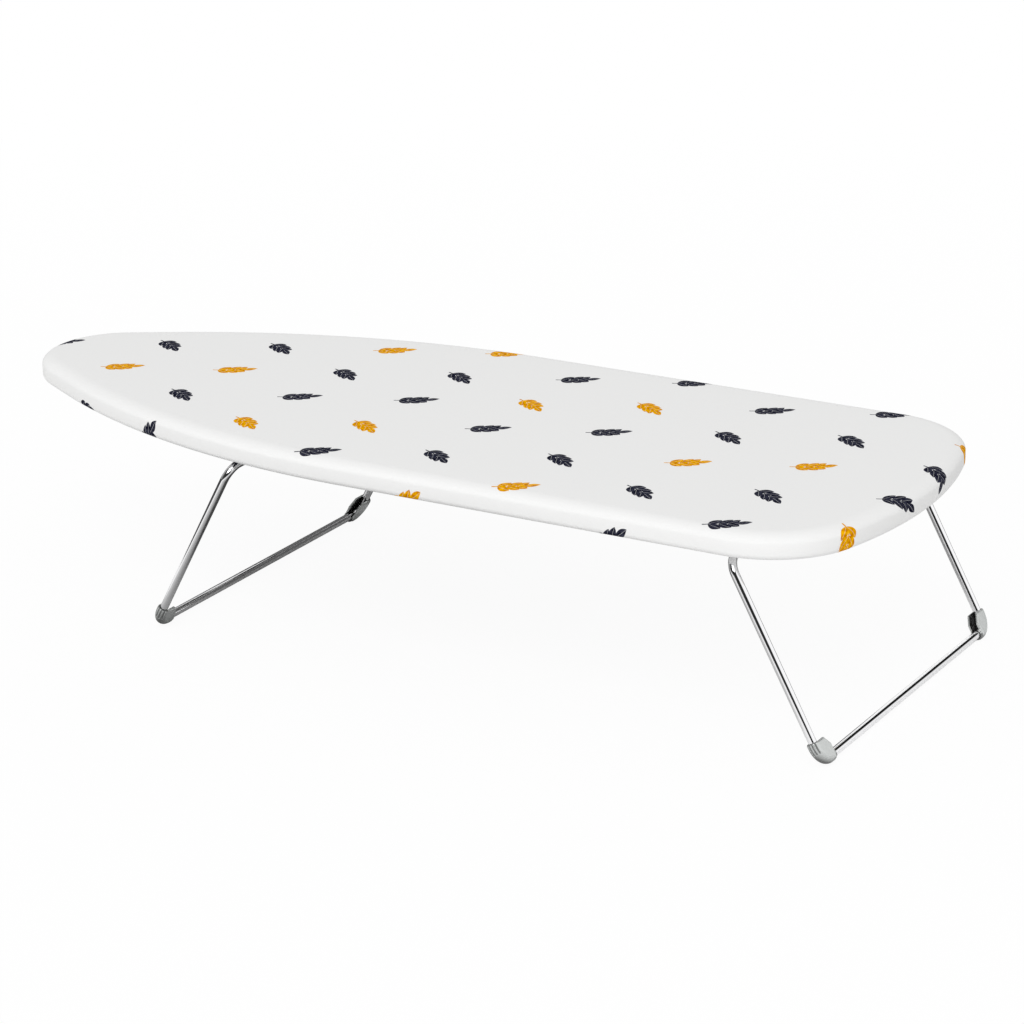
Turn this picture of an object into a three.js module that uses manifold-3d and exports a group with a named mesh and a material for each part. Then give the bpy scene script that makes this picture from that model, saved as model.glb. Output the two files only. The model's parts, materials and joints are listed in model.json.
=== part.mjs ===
// Travel ironing board: a padded, cotton-covered steel top on two fold-flat rod legs.
// Millimetres, +Z up, nose towards -X. The origin is on the floor under the middle of the board.
import * as THREE from "three";
import { mergeVertices } from "three/addons/utils/BufferGeometryUtils.js";
import Module from "manifold-3d";

const wasm = await Module();
wasm.setup();

// Board plan
const BOARD_LENGTH = 730;
const BOARD_WIDTH = 292;
const NOSE_RADIUS = 60;
const FLARE_ANGLE = THREE.MathUtils.degToRad(30);
const SHOULDER_RADIUS = 586;
const TAIL_CORNER_RADIUS = 72;
const TAIL_RADIUS = 350;

// Board section, from the ironing surface down
const TOP_HEIGHT = 156;
const COVER_THICKNESS = 1;
const FOAM_THICKNESS = 5.9;
const DECK_THICKNESS = 0.8;
const RIM_DIAMETER = 8;
const TOP_EDGE_WIDTH = 12;
const TOP_EDGE_DROP = 6.5;
const LOWER_EDGE_RADIUS = 4.5;
const HEM_WIDTH = 30;
const SEAT_GAP = 0.3;

// Elastic in the hem
const ELASTIC_WIDTH = 5;
const ELASTIC_THICKNESS = 1.2;
const ELASTIC_FROM_HEM_EDGE = 1;

// Openings of the deck
const MESH_PITCH_X = 56;
const MESH_PITCH_Y = 32;
const MESH_HOLE_LENGTH = 40;
const MESH_HOLE_WIDTH = 20;
const MESH_BORDER = 6;

// Cross rails
const RAIL_WALL = 1.2;
const RAIL_BEYOND_BRACKET = 1;
const RAIL_ABOVE_ELASTIC = 0.8;

// Leg rods
const ROD_DIAMETER = 6;
const ROD_BEND_RADIUS = 11.5;
const LEG_WIDTH = 275;
const LEG_SPLAY = THREE.MathUtils.degToRad(28.3);
const PIVOT_FROM_NOSE = 254;
const PIVOT_FROM_TAIL = 81;
const PIVOT_CLEARANCE = 0.8;
const STOP_ARM_LENGTH = 16;
const STOP_ARM_FROM_BRACKET = 1;

// Pivot brackets and their rivets
const BRACKET_WIDTH = 22;
const BRACKET_THICKNESS = 1.5;
const BRACKET_FROM_HEM = 2;
const FLANGE_BEYOND_RIVET = 2;
const RUNNING_CLEARANCE = 0.3;
const RIVET_DIAMETER = 4;
const RIVET_HEAD_DIAMETER = 7;
const RIVET_HEAD_HEIGHT = 1.8;
const RIVET_TAIL_HEIGHT = 0.9;
const RIVET_FROM_STRAP = 3;

// Corner feet
const FOOT_WALL = 1.35;
const FOOT_CLEARANCE = 0.25;
const FOOT_ABOVE_BEND = 2.5;
const FOOT_BEYOND_BEND = 2.5;
const FOOT_CHEEK_DEPTH = 8.7;
const FOOT_CHEEK_DROP = 6.4;
const SOLE_FLAT_DEPTH = 0.4;

// Facets of round stretches
const NOSE_STEPS = 7;
const SHOULDER_STEPS = 7;
const CORNER_STEPS = 7;
const TAIL_STEPS = 3;
const EDGE_STEPS = 4;
const BEND_STEPS = 5;
const ROD_SIDES = 12;
const RIM_SIDES = 8;
const RIVET_SIDES = 12;
const RIVET_DOME_STEPS = 3;
const STRAP_STEPS = 6;

// How far cutters run past what they cut, and how near two corners are one
const CUT_MARGIN = 20;
const MERGE_DISTANCE = 0.001;

// Heights that follow from the section
const foamTop = TOP_HEIGHT - COVER_THICKNESS - SEAT_GAP;
const deckTop = foamTop - FOAM_THICKNESS - SEAT_GAP;
const rimTop = deckTop - DECK_THICKNESS - SEAT_GAP;
const hemTop = rimTop - RIM_DIAMETER - SEAT_GAP;
const boardBottom = hemTop - COVER_THICKNESS;
const elasticLow = hemTop + SEAT_GAP;
const elasticHigh = elasticLow + ELASTIC_THICKNESS;
const railBottom = elasticHigh + RAIL_ABOVE_ELASTIC;
const bracketTop = railBottom - SEAT_GAP;

// Insets that follow from the section, measured in from the board's edge
const rimInset = COVER_THICKNESS + SEAT_GAP + RIM_DIAMETER / 2;
const rimInnerInset = rimInset + RIM_DIAMETER / 2 + SEAT_GAP;

// Leg sizes that follow
const rodRadius = ROD_DIAMETER / 2;
const pivotHeight = boardBottom - PIVOT_CLEARANCE - rodRadius;
const footHalf = rodRadius + FOOT_CLEARANCE + FOOT_WALL;
const footUpLeg = ROD_BEND_RADIUS + FOOT_ABOVE_BEND;
const footAlongBar = ROD_BEND_RADIUS + FOOT_BEYOND_BEND;
const barHeight = footHalf - SOLE_FLAT_DEPTH;
const shankLength = (pivotHeight - barHeight) / Math.cos(LEG_SPLAY);

// Bracket sizes that follow, from the rod outwards
const strapBore = rodRadius + RUNNING_CLEARANCE;
const strapOuter = strapBore + BRACKET_THICKNESS;
const rivetFromPivot = strapOuter + RIVET_FROM_STRAP + RIVET_HEAD_DIAMETER / 2;
const bracketReach = rivetFromPivot + RIVET_HEAD_DIAMETER / 2 + FLANGE_BEYOND_RIVET;
const railReach = bracketReach + RAIL_BEYOND_BRACKET;

// Materials, one for each mesh
function finish(color, roughness, metalness) {
  return new THREE.MeshStandardMaterial({ color, roughness, metalness });
}
const cotton = () => finish(0xf1f1ef, 0.9, 0);
const foam = () => finish(0xc9c7bd, 0.95, 0);
const galvanised = () => finish(0xb4b7b9, 0.45, 0.9);
const chrome = () => finish(0xd9dadb, 0.12, 1);
const greyPlastic = () => finish(0xb9bdbb, 0.55, 0);
const elasticBand = () => finish(0xe6e4de, 0.85, 0);

// Solids for cutting and joining
function solid(geometry) {
  const bare = geometry.clone();
  bare.deleteAttribute("normal");
  bare.deleteAttribute("uv");
  const merged = mergeVertices(bare, MERGE_DISTANCE);
  const vertProperties = merged.attributes.position.array;
  const triVerts = new Uint32Array(merged.index.array);
  return new wasm.Manifold(new wasm.Mesh({ numProp: 3, vertProperties, triVerts }));
}

function geometryOf(manifold) {
  const mesh = manifold.getMesh();
  const geometry = new THREE.BufferGeometry();
  geometry.setAttribute("position", new THREE.BufferAttribute(mesh.vertProperties, 3));
  geometry.setIndex(new THREE.BufferAttribute(mesh.triVerts, 1));
  return geometry;
}

// The board's plan at an inset from its edge, anticlockwise from the middle of the tail.
// Every arc keeps its centre, so each inset runs parallel to the edge.
function boardOutline(inset) {
  const half = BOARD_WIDTH / 2;
  const noseX = -BOARD_LENGTH / 2 + NOSE_RADIUS;
  const flareRise = SHOULDER_RADIUS - NOSE_RADIUS + (half - SHOULDER_RADIUS) * Math.cos(FLARE_ANGLE);
  const shoulderX = noseX + flareRise / Math.sin(FLARE_ANGLE);
  const tailX = BOARD_LENGTH / 2 - TAIL_RADIUS;
  const cornerY = half - TAIL_CORNER_RADIUS;
  const cornerReach = Math.sqrt((TAIL_RADIUS - TAIL_CORNER_RADIUS) ** 2 - cornerY ** 2);
  const cornerAngle = Math.atan2(cornerY, cornerReach);
  const side = Math.PI / 2;
  const flare = side + FLARE_ANGLE;
  const arcs = [
    [tailX, 0, TAIL_RADIUS, 0, cornerAngle, TAIL_STEPS],
    [tailX + cornerReach, cornerY, TAIL_CORNER_RADIUS, cornerAngle, side, CORNER_STEPS],
    [shoulderX, half - SHOULDER_RADIUS, SHOULDER_RADIUS, side, flare, SHOULDER_STEPS],
    [noseX, 0, NOSE_RADIUS, flare, Math.PI, NOSE_STEPS],
  ];
  const points = [];
  arcs.forEach(([x, y, radius, from, to, steps], arc) => {
    const first = arc === 1 ? 1 : 0;
    for (let i = first; i <= steps; i++) {
      const angle = from + ((to - from) * i) / steps;
      const r = radius - inset;
      points.push(new THREE.Vector2(x + r * Math.cos(angle), y + r * Math.sin(angle)));
    }
  });
  const mirrored = points.slice(1, -1).reverse();
  return points.concat(mirrored.map((p) => new THREE.Vector2(p.x, -p.y)));
}

const ringAt = (inset, z) => boardOutline(inset).map((p) => new THREE.Vector3(p.x, p.y, z));

// A closed solid skinned over rings of equal count: a loop of rings, or a stack with flat ends
function skin(rings, looped) {
  const count = rings[0].length;
  const index = [];
  const spans = looped ? rings.length : rings.length - 1;
  for (let i = 0; i < spans; i++) {
    const low = i * count;
    const high = ((i + 1) % rings.length) * count;
    for (let j = 0; j < count; j++) {
      const next = (j + 1) % count;
      index.push(low + j, low + next, high + next, low + j, high + next, high + j);
    }
  }
  if (!looped) {
    const last = (rings.length - 1) * count;
    for (let j = 1; j < count - 1; j++) {
      index.push(0, j + 1, j);
      index.push(last, last + j, last + j + 1);
    }
  }
  const geometry = new THREE.BufferGeometry().setFromPoints(rings.flat());
  return geometry.setIndex(index);
}

// Points of a rounded edge in section, as insets and heights, from one angle to another
function roundedEdge(inset, z, width, drop, from, to) {
  const points = [];
  for (let i = 0; i <= EDGE_STEPS; i++) {
    const angle = from + ((to - from) * i) / EDGE_STEPS;
    points.push([inset - width * Math.cos(angle), z + drop * Math.sin(angle)]);
  }
  return points;
}

const object = new THREE.Group();

function place(name, geometry, material, parent = object) {
  const mesh = new THREE.Mesh(geometry, material);
  mesh.name = name;
  parent.add(mesh);
  return mesh;
}

// Cotton cover: flat top, soft edge, and a hem drawn in under the board
function coverSkin(offset) {
  const up = Math.PI / 2;
  const top = TOP_HEIGHT - TOP_EDGE_DROP;
  const bottom = boardBottom + LOWER_EDGE_RADIUS;
  const lower = LOWER_EDGE_RADIUS - offset;
  return [
    [HEM_WIDTH, boardBottom + offset],
    ...roundedEdge(LOWER_EDGE_RADIUS, bottom, lower, lower, -up, 0),
    ...roundedEdge(TOP_EDGE_WIDTH, top, TOP_EDGE_WIDTH - offset, TOP_EDGE_DROP - offset, 0, up),
  ];
}
const coverSection = [...coverSkin(COVER_THICKNESS).reverse(), ...coverSkin(0)];
place("cover", skin(coverSection.map(([inset, z]) => ringAt(inset, z)), false), cotton());

// Foam pad: fills the cover down to the deck, with its top edge as soft as the cover's
const foamEdgeInset = COVER_THICKNESS + SEAT_GAP;
const foamEdgeWidth = TOP_EDGE_WIDTH - foamEdgeInset;
const foamEdgeDrop = TOP_EDGE_DROP - foamEdgeInset;
const foamSection = [
  [foamEdgeInset, foamTop - FOAM_THICKNESS],
  ...roundedEdge(TOP_EDGE_WIDTH, foamTop - foamEdgeDrop, foamEdgeWidth, foamEdgeDrop, 0, Math.PI / 2),
];
place("foam_pad", skin(foamSection.map(([inset, z]) => ringAt(inset, z)), false), foam());

// Steel deck: one sheet over the rim tube, with staggered diamond openings inside it
function deckGeometry() {
  const sheet = new THREE.Shape(boardOutline(rimInset));
  const field = boardOutline(rimInnerInset + MESH_BORDER);
  const rows = Math.floor(BOARD_WIDTH / MESH_PITCH_Y);
  const columns = Math.floor(BOARD_LENGTH / MESH_PITCH_X);
  for (let row = -rows; row <= rows; row++) {
    for (let column = -columns; column <= columns; column++) {
      const x = (column + (row % 2) / 2) * MESH_PITCH_X;
      const y = (row * MESH_PITCH_Y) / 2;
      const diamond = [
        new THREE.Vector2(x - MESH_HOLE_LENGTH / 2, y),
        new THREE.Vector2(x, y - MESH_HOLE_WIDTH / 2),
        new THREE.Vector2(x + MESH_HOLE_LENGTH / 2, y),
        new THREE.Vector2(x, y + MESH_HOLE_WIDTH / 2),
      ];
      if (diamond.every((corner) => isInside(corner, field))) {
        sheet.holes.push(new THREE.Path(diamond));
      }
    }
  }
  return new THREE.ExtrudeGeometry(sheet, { depth: DECK_THICKNESS, bevelEnabled: false });
}

// Whether a point lies inside a convex anticlockwise outline
function isInside(point, outline) {
  return outline.every((a, i) => {
    const b = outline[(i + 1) % outline.length];
    return (b.x - a.x) * (point.y - a.y) - (b.y - a.y) * (point.x - a.x) > 0;
  });
}
place("deck_panel", deckGeometry(), galvanised()).position.z = deckTop - DECK_THICKNESS;

// Rim tube: one round tube bent along the board's edge
const rimRings = [];
for (let i = 0; i < RIM_SIDES; i++) {
  const angle = ((i + 0.5) * 2 * Math.PI) / RIM_SIDES;
  const reach = RIM_DIAMETER / 2;
  const z = rimTop - reach + reach * Math.sin(angle);
  rimRings.push(ringAt(rimInset - reach * Math.cos(angle), z));
}
place("rim_tube", skin(rimRings, true), galvanised());

// Hem elastic: a flat band lying on the hem, just inside its drawn-in edge
const elasticInner = HEM_WIDTH - ELASTIC_FROM_HEM_EDGE;
const elasticOuter = elasticInner - ELASTIC_WIDTH;
const elasticRings = [
  ringAt(elasticOuter, elasticLow),
  ringAt(elasticOuter, elasticHigh),
  ringAt(elasticInner, elasticHigh),
  ringAt(elasticInner, elasticLow),
];
place("hem_elastic", skin(elasticRings, true), elasticBand());

// A shape drawn in X and Z, extruded along Y about the middle
function extrudeAcross(shape, width) {
  const options = { depth: width, bevelEnabled: false, curveSegments: STRAP_STEPS };
  const geometry = new THREE.ExtrudeGeometry(shape, options);
  return geometry.translate(0, 0, -width / 2).rotateX(Math.PI / 2);
}

// Upright cutter for a rivet hole
function rivetHole(x, y) {
  const radius = RIVET_DIAMETER / 2 + RUNNING_CLEARANCE;
  const cutter = new THREE.CylinderGeometry(radius, radius, CUT_MARGIN, RIVET_SIDES);
  return solid(cutter.rotateX(Math.PI / 2).translate(x, y, railBottom));
}

// Half the width of the board's plan, at an inset and a place along it
function halfWidthAt(inset, x) {
  const outline = boardOutline(inset);
  const after = outline.findIndex((p) => p.x <= x);
  const a = outline[after - 1];
  const b = outline[after];
  return a.y + ((b.y - a.y) * (x - a.x)) / (b.x - a.x);
}

// Two legs, alike, the nose one turned about; all brackets sit as far out as the hem allows
const LEGS = {
  nose: { pivotX: PIVOT_FROM_NOSE - BOARD_LENGTH / 2, facing: Math.PI },
  tail: { pivotX: BOARD_LENGTH / 2 - PIVOT_FROM_TAIL, facing: 0 },
};
const SIDES = { left: -1, right: 1 };
const RIVETS = { front: -1, rear: 1 };
const hemEdges = Object.values(LEGS).flatMap(({ pivotX }) =>
  Object.values(RIVETS).map((step) => halfWidthAt(HEM_WIDTH, pivotX + step * bracketReach)),
);
const bracketOuter = Math.min(...hemEdges) - BRACKET_FROM_HEM;
const bracketY = bracketOuter - BRACKET_WIDTH / 2;

// Cross rail: a channel that stands on the rim's inside, open towards the deck
function crossRailGeometry(pivotX) {
  const inside = railReach - RAIL_WALL;
  const channel = new THREE.Shape();
  channel.moveTo(-railReach, rimTop);
  channel.lineTo(-railReach, railBottom);
  channel.lineTo(railReach, railBottom);
  channel.lineTo(railReach, rimTop);
  channel.lineTo(inside, rimTop);
  channel.lineTo(inside, railBottom + RAIL_WALL);
  channel.lineTo(-inside, railBottom + RAIL_WALL);
  channel.lineTo(-inside, rimTop);
  const bar = solid(extrudeAcross(channel, BOARD_WIDTH).translate(pivotX, 0, 0));
  const well = new THREE.ExtrudeGeometry(new THREE.Shape(boardOutline(rimInnerInset)), {
    depth: RIM_DIAMETER + CUT_MARGIN,
    bevelEnabled: false,
  });
  let rail = bar.intersect(solid(well.translate(0, 0, railBottom - CUT_MARGIN / 2)));
  for (const side of Object.values(SIDES)) {
    for (const step of Object.values(RIVETS)) {
      rail = rail.subtract(rivetHole(pivotX + step * rivetFromPivot, side * bracketY));
    }
  }
  return geometryOf(rail);
}

// Pivot bracket: a strap under the rod, with two flanges against the rail
function bracketGeometry(pivotX, y) {
  const flange = bracketTop - BRACKET_THICKNESS;
  const strap = new THREE.Shape();
  strap.moveTo(-bracketReach, bracketTop);
  strap.lineTo(-bracketReach, flange);
  strap.lineTo(-strapOuter, flange);
  strap.absarc(0, pivotHeight, strapOuter, Math.PI, 2 * Math.PI, false);
  strap.lineTo(strapOuter, flange);
  strap.lineTo(bracketReach, flange);
  strap.lineTo(bracketReach, bracketTop);
  strap.lineTo(strapBore, bracketTop);
  strap.absarc(0, pivotHeight, strapBore, 2 * Math.PI, Math.PI, true);
  strap.lineTo(-strapBore, bracketTop);
  let bracket = solid(extrudeAcross(strap, BRACKET_WIDTH).translate(pivotX, y, 0));
  for (const step of Object.values(RIVETS)) {
    bracket = bracket.subtract(rivetHole(pivotX + step * rivetFromPivot, y));
  }
  return geometryOf(bracket);
}

// Rivet: domed head below the flange, shank through both sheets, flat head inside the rail
function rivetGeometry() {
  const shank = RIVET_DIAMETER / 2;
  const head = RIVET_HEAD_DIAMETER / 2;
  const low = bracketTop - BRACKET_THICKNESS - SEAT_GAP;
  const high = railBottom + RAIL_WALL + SEAT_GAP;
  const profile = [];
  for (let i = 0; i <= RIVET_DOME_STEPS; i++) {
    const angle = (i * Math.PI) / 2 / RIVET_DOME_STEPS;
    profile.push([head * Math.sin(angle), low - RIVET_HEAD_HEIGHT * Math.cos(angle)]);
  }
  profile.push([shank, low], [shank, high], [head, high]);
  profile.push([head, high + RIVET_TAIL_HEIGHT], [0, high + RIVET_TAIL_HEIGHT]);
  const points = profile.map(([r, z]) => new THREE.Vector2(r, z));
  return new THREE.LatheGeometry(points, RIVET_SIDES).rotateX(Math.PI / 2);
}

// A round rod along straight runs, with an arc of the bend radius at each corner.
// The across direction lies square to the rod's start.
function bentRod(corners, radius, across) {
  const path = [{ at: corners[0], along: direction(corners[0], corners[1]) }];
  for (let i = 1; i < corners.length - 1; i++) {
    const into = direction(corners[i - 1], corners[i]);
    const out = direction(corners[i], corners[i + 1]);
    const turn = into.angleTo(out);
    const axis = into.clone().cross(out).normalize();
    const start = corners[i].clone().addScaledVector(into, -ROD_BEND_RADIUS * Math.tan(turn / 2));
    const centre = start.clone().addScaledVector(axis.clone().cross(into), ROD_BEND_RADIUS);
    for (let step = 0; step <= BEND_STEPS; step++) {
      const angle = (turn * step) / BEND_STEPS;
      const at = start.clone().sub(centre).applyAxisAngle(axis, angle).add(centre);
      path.push({ at, along: into.clone().applyAxisAngle(axis, angle) });
    }
  }
  const last = corners.length - 1;
  path.push({ at: corners[last], along: direction(corners[last - 1], corners[last]) });
  return skin(rodRings(path, radius, across.clone()), false);
}

const direction = (from, to) => to.clone().sub(from).normalize();

// Rings square to the path, carried along it without twist
function rodRings(path, radius, across) {
  const rings = [];
  const turn = new THREE.Quaternion();
  let along = path[0].along;
  for (const stop of path) {
    across.applyQuaternion(turn.setFromUnitVectors(along, stop.along));
    along = stop.along;
    const up = along.clone().cross(across);
    const ring = [];
    for (let i = 0; i < ROD_SIDES; i++) {
      const angle = ((i + 0.5) * 2 * Math.PI) / ROD_SIDES;
      const point = stop.at.clone().addScaledVector(across, radius * Math.cos(angle));
      ring.push(point.addScaledVector(up, radius * Math.sin(angle)));
    }
    rings.push(ring);
  }
  return rings;
}

// Leg rod: stop arm, turned-in end, shank, floor bar, and the same again on the other side.
// The leg's own frame has its origin on the pivot axis, and Z along the shanks.
function legRodGeometry() {
  const half = LEG_WIDTH / 2;
  const armY = bracketOuter - BRACKET_WIDTH - STOP_ARM_FROM_BRACKET - ROD_BEND_RADIUS;
  const rise = railBottom - SEAT_GAP - rodRadius - pivotHeight;
  const armAngle = Math.asin(rise / STOP_ARM_LENGTH) - LEG_SPLAY;
  const armX = STOP_ARM_LENGTH * Math.cos(armAngle);
  const armZ = STOP_ARM_LENGTH * Math.sin(armAngle);
  const oneSide = [
    new THREE.Vector3(armX, -armY, armZ),
    new THREE.Vector3(0, -armY, 0),
    new THREE.Vector3(0, -half, 0),
    new THREE.Vector3(0, -half, -shankLength),
  ];
  const otherSide = oneSide.map((p) => new THREE.Vector3(p.x, -p.y, p.z)).reverse();
  return bentRod([...oneSide, ...otherSide], rodRadius, new THREE.Vector3(0, 1, 0));
}

// Corner foot: an elbow clip pushed over the bend of the rod, round outside and open inside.
// It is drawn with X in along the floor bar and Y up along the shank.
function footForm(reach, upLeg, alongBar, cheekDepth, cheekDrop) {
  const bend = ROD_BEND_RADIUS;
  const corners = [
    new THREE.Vector3(0, upLeg, 0),
    new THREE.Vector3(0, 0, 0),
    new THREE.Vector3(alongBar, 0, 0),
  ];
  const toFlats = reach / Math.cos(Math.PI / ROD_SIDES);
  const elbow = bentRod(corners, toFlats, new THREE.Vector3(0, 0, 1));
  const cheek = new THREE.Shape();
  cheek.moveTo(0, upLeg);
  cheek.lineTo(0, bend);
  cheek.absarc(bend, bend, bend, Math.PI, 1.5 * Math.PI, false);
  cheek.lineTo(alongBar, 0);
  cheek.lineTo(alongBar, upLeg - cheekDrop);
  cheek.lineTo(cheekDepth, upLeg);
  const options = { depth: 2 * reach, bevelEnabled: false, curveSegments: BEND_STEPS };
  const cheeks = new THREE.ExtrudeGeometry(cheek, options).translate(0, 0, -reach);
  return solid(elbow).add(solid(cheeks));
}

function footGeometry(side) {
  const clip = footForm(footHalf, footUpLeg, footAlongBar, FOOT_CHEEK_DEPTH, FOOT_CHEEK_DROP);
  const far = footAlongBar + CUT_MARGIN;
  const channel = footForm(footHalf - FOOT_WALL, footUpLeg + CUT_MARGIN, far, far, 0);
  const inward = new THREE.Vector3(0, -side, 0);
  const upward = new THREE.Vector3(0, 0, 1);
  const toLeg = new THREE.Matrix4().makeBasis(inward, upward, inward.clone().cross(upward));
  toLeg.setPosition(0, (side * LEG_WIDTH) / 2, -shankLength);
  const floor = new THREE.BoxGeometry(BOARD_LENGTH, BOARD_LENGTH, CUT_MARGIN);
  floor.translate(0, 0, -pivotHeight - CUT_MARGIN / 2).rotateY(LEG_SPLAY);
  const foot = clip.subtract(channel).transform(toLeg.elements);
  return geometryOf(foot.subtract(solid(floor)));
}

// Rails, brackets, rivets and legs
for (const [leg, { pivotX, facing }] of Object.entries(LEGS)) {
  place(`${leg}_cross_rail`, crossRailGeometry(pivotX), galvanised());
  for (const [hand, side] of Object.entries(SIDES)) {
    place(`${leg}_${hand}_bracket`, bracketGeometry(pivotX, side * bracketY), galvanised());
    for (const [row, step] of Object.entries(RIVETS)) {
      const rivet = place(`${leg}_${hand}_${row}_rivet`, rivetGeometry(), galvanised());
      rivet.position.set(pivotX + step * rivetFromPivot, side * bracketY, 0);
    }
  }
  const turned = new THREE.Group();
  turned.position.set(pivotX, 0, pivotHeight);
  turned.rotation.z = facing;
  const splayed = new THREE.Group();
  splayed.rotation.y = -LEG_SPLAY;
  turned.add(splayed);
  object.add(turned);
  place(`${leg}_leg_rod`, legRodGeometry(), chrome(), splayed);
  for (const [hand, side] of Object.entries(SIDES)) {
    const seenFrom = facing === 0 ? side : -side;
    place(`${leg}_${hand}_foot`, footGeometry(seenFrom), greyPlastic(), splayed);
  }
}

export default object;
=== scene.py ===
# %% [markdown]
# A small ironing board for a table top: a padded steel deck under a printed cotton cover,
# on two bent rod legs that fold flat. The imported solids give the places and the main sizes,
# and this script dresses them. Each step says what the piece is on the real board, how it
# could be made in Blender, and why it is made the way it is here.

# %% Load the frame
import json
import math

import bmesh
import bpy
import numpy as np
from mathutils import Matrix, Vector
from mathutils.geometry import delaunay_2d_cdt


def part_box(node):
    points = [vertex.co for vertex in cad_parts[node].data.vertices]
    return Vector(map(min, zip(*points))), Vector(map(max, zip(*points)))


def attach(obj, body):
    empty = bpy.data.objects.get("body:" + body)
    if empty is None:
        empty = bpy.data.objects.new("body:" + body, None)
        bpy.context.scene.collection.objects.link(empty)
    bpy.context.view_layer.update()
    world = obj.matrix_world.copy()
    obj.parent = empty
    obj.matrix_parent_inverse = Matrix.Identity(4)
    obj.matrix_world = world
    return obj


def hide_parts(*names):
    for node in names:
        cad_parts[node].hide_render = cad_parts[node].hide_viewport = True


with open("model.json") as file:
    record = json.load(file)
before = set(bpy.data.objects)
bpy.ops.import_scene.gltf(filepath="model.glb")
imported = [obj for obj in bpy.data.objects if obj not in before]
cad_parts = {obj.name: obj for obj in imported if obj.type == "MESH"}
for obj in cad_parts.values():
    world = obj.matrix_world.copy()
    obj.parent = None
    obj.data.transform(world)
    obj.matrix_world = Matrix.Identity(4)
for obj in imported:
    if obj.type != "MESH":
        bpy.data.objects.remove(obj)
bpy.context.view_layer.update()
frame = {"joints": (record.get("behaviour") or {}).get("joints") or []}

scene = bpy.context.scene

# %% [markdown]
# The camera stands where the photographer's did. A camera could be turned by eye until the
# picture looks right. Here its place was worked out from the four corners of the legs and
# the outline of the top, so distance, turn and lens belong together and nothing is shifted.

# %% Camera
IMAGE_SIDE_PIXELS = 1024
FOCAL_LENGTH_PIXELS = 3512
SENSOR_WIDTH_MM = 36
CAMERA_AZIMUTH = 30.27
CAMERA_ELEVATION = 19.48
CAMERA_ROLL = math.radians(-0.68)
CAMERA_DISTANCE = 2.564
LOOKED_AT = Vector((0, 0, 0.0935))
LOOKED_AT_RIGHT_OF_MIDDLE = -0.0347
LOOKED_AT_ABOVE_MIDDLE = 0.0158


def way_to(azimuth_degrees, elevation_degrees):
    """The direction from the board to a camera or a lamp. Azimuth 0 is in front, at -Y."""
    azimuth, elevation = math.radians(azimuth_degrees), math.radians(elevation_degrees)
    level = math.cos(elevation)
    return Vector((math.sin(azimuth) * level, -math.cos(azimuth) * level, math.sin(elevation)))


def make_camera():
    back = way_to(CAMERA_AZIMUTH, CAMERA_ELEVATION)
    right = Vector((-back.y, back.x, 0)).normalized()
    up = back.cross(right)
    turned_right = right * math.cos(CAMERA_ROLL) + up * math.sin(CAMERA_ROLL)
    turned_up = up * math.cos(CAMERA_ROLL) - right * math.sin(CAMERA_ROLL)
    place = LOOKED_AT + back * CAMERA_DISTANCE
    place -= turned_right * LOOKED_AT_RIGHT_OF_MIDDLE + turned_up * LOOKED_AT_ABOVE_MIDDLE
    data = bpy.data.cameras.new("camera")
    data.sensor_width = SENSOR_WIDTH_MM
    data.lens = FOCAL_LENGTH_PIXELS / IMAGE_SIDE_PIXELS * SENSOR_WIDTH_MM
    camera = bpy.data.objects.new("camera", data)
    axes = Matrix((turned_right, turned_up, back)).transposed()
    camera.matrix_world = Matrix.Translation(place) @ axes.to_4x4()
    scene.collection.objects.link(camera)
    scene.camera = camera
    print("camera at", [round(v, 3) for v in place], "lens", round(data.lens, 1), "mm")


make_camera()

# %% [markdown]
# Materials and light are built from nodes. Adding a node takes several lines each time, so
# small helpers add one, wire what is a socket and set what is a plain value. A value that is
# the same all over a surface then stays on the shader's own socket.


# %% Node helpers
def add_node(tree, kind, options=None, **inputs):
    """A node of one kind, with its options set and its inputs wired or given a value."""
    made = tree.nodes.new("ShaderNode" + kind)
    for name, value in (options or {}).items():
        setattr(made, name, value)
    for name, value in inputs.items():
        set_input(tree, made.inputs[name.replace("_", " ")], value)
    return made


def set_input(tree, socket, value):
    if isinstance(value, bpy.types.NodeSocket):
        tree.links.new(value, socket)
    else:
        socket.default_value = value


def calc(tree, operation, *values):
    """The result of one math node."""
    made = add_node(tree, "Math", {"operation": operation})
    for socket, value in zip(made.inputs, values):
        set_input(tree, socket, value)
    return made.outputs[0]


# %% Colours and materials
def rgb(red, green, blue):
    return (red, green, blue, 1)


def grey(level):
    return rgb(level, level, level)


def blend_colors(tree, factor, first, second):
    """One colour where the factor is 0, and the other where it is 1."""
    made = add_node(tree, "Mix", {"data_type": "RGBA"}, Factor=factor, A=first, B=second)
    return made.outputs["Result"]


def start_material(name):
    """A new material and its node tree, with only the surface output in it."""
    material = bpy.data.materials.new(name)
    material.use_nodes = True
    material.node_tree.nodes.clear()
    add_node(material.node_tree, "OutputMaterial")
    return material, material.node_tree


def show_surface(tree, shader):
    output = next(n for n in tree.nodes if n.type == "OUTPUT_MATERIAL")
    tree.links.new(shader.outputs[0], output.inputs["Surface"])


# %% [markdown]
# The photograph is a studio shot on white. Making everything white with stronger lamps would
# burn out the white cotton. The floor is a pale matt surface instead, and only the camera sees
# it glow as well, a little under the board and fully farther out. It reaches white so, and
# still takes a soft shadow. The light that it throws back up is dimmed under the board, which
# keeps the undersides dark. In the rods' mirror image it is a lit table top: dark in the shade
# of the board, bright around it, and lost in the dark room farther out. Seen from below it
# lets the view through.


# %% Nodes for the floor
def remap(tree, value, start, end):
    """A value carried from one range to another, and held at the ends."""
    made = add_node(
        tree, "MapRange", Value=value,
        From_Min=start[0], From_Max=start[1], To_Min=end[0], To_Max=end[1],
    )
    return made.outputs["Result"]


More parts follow.
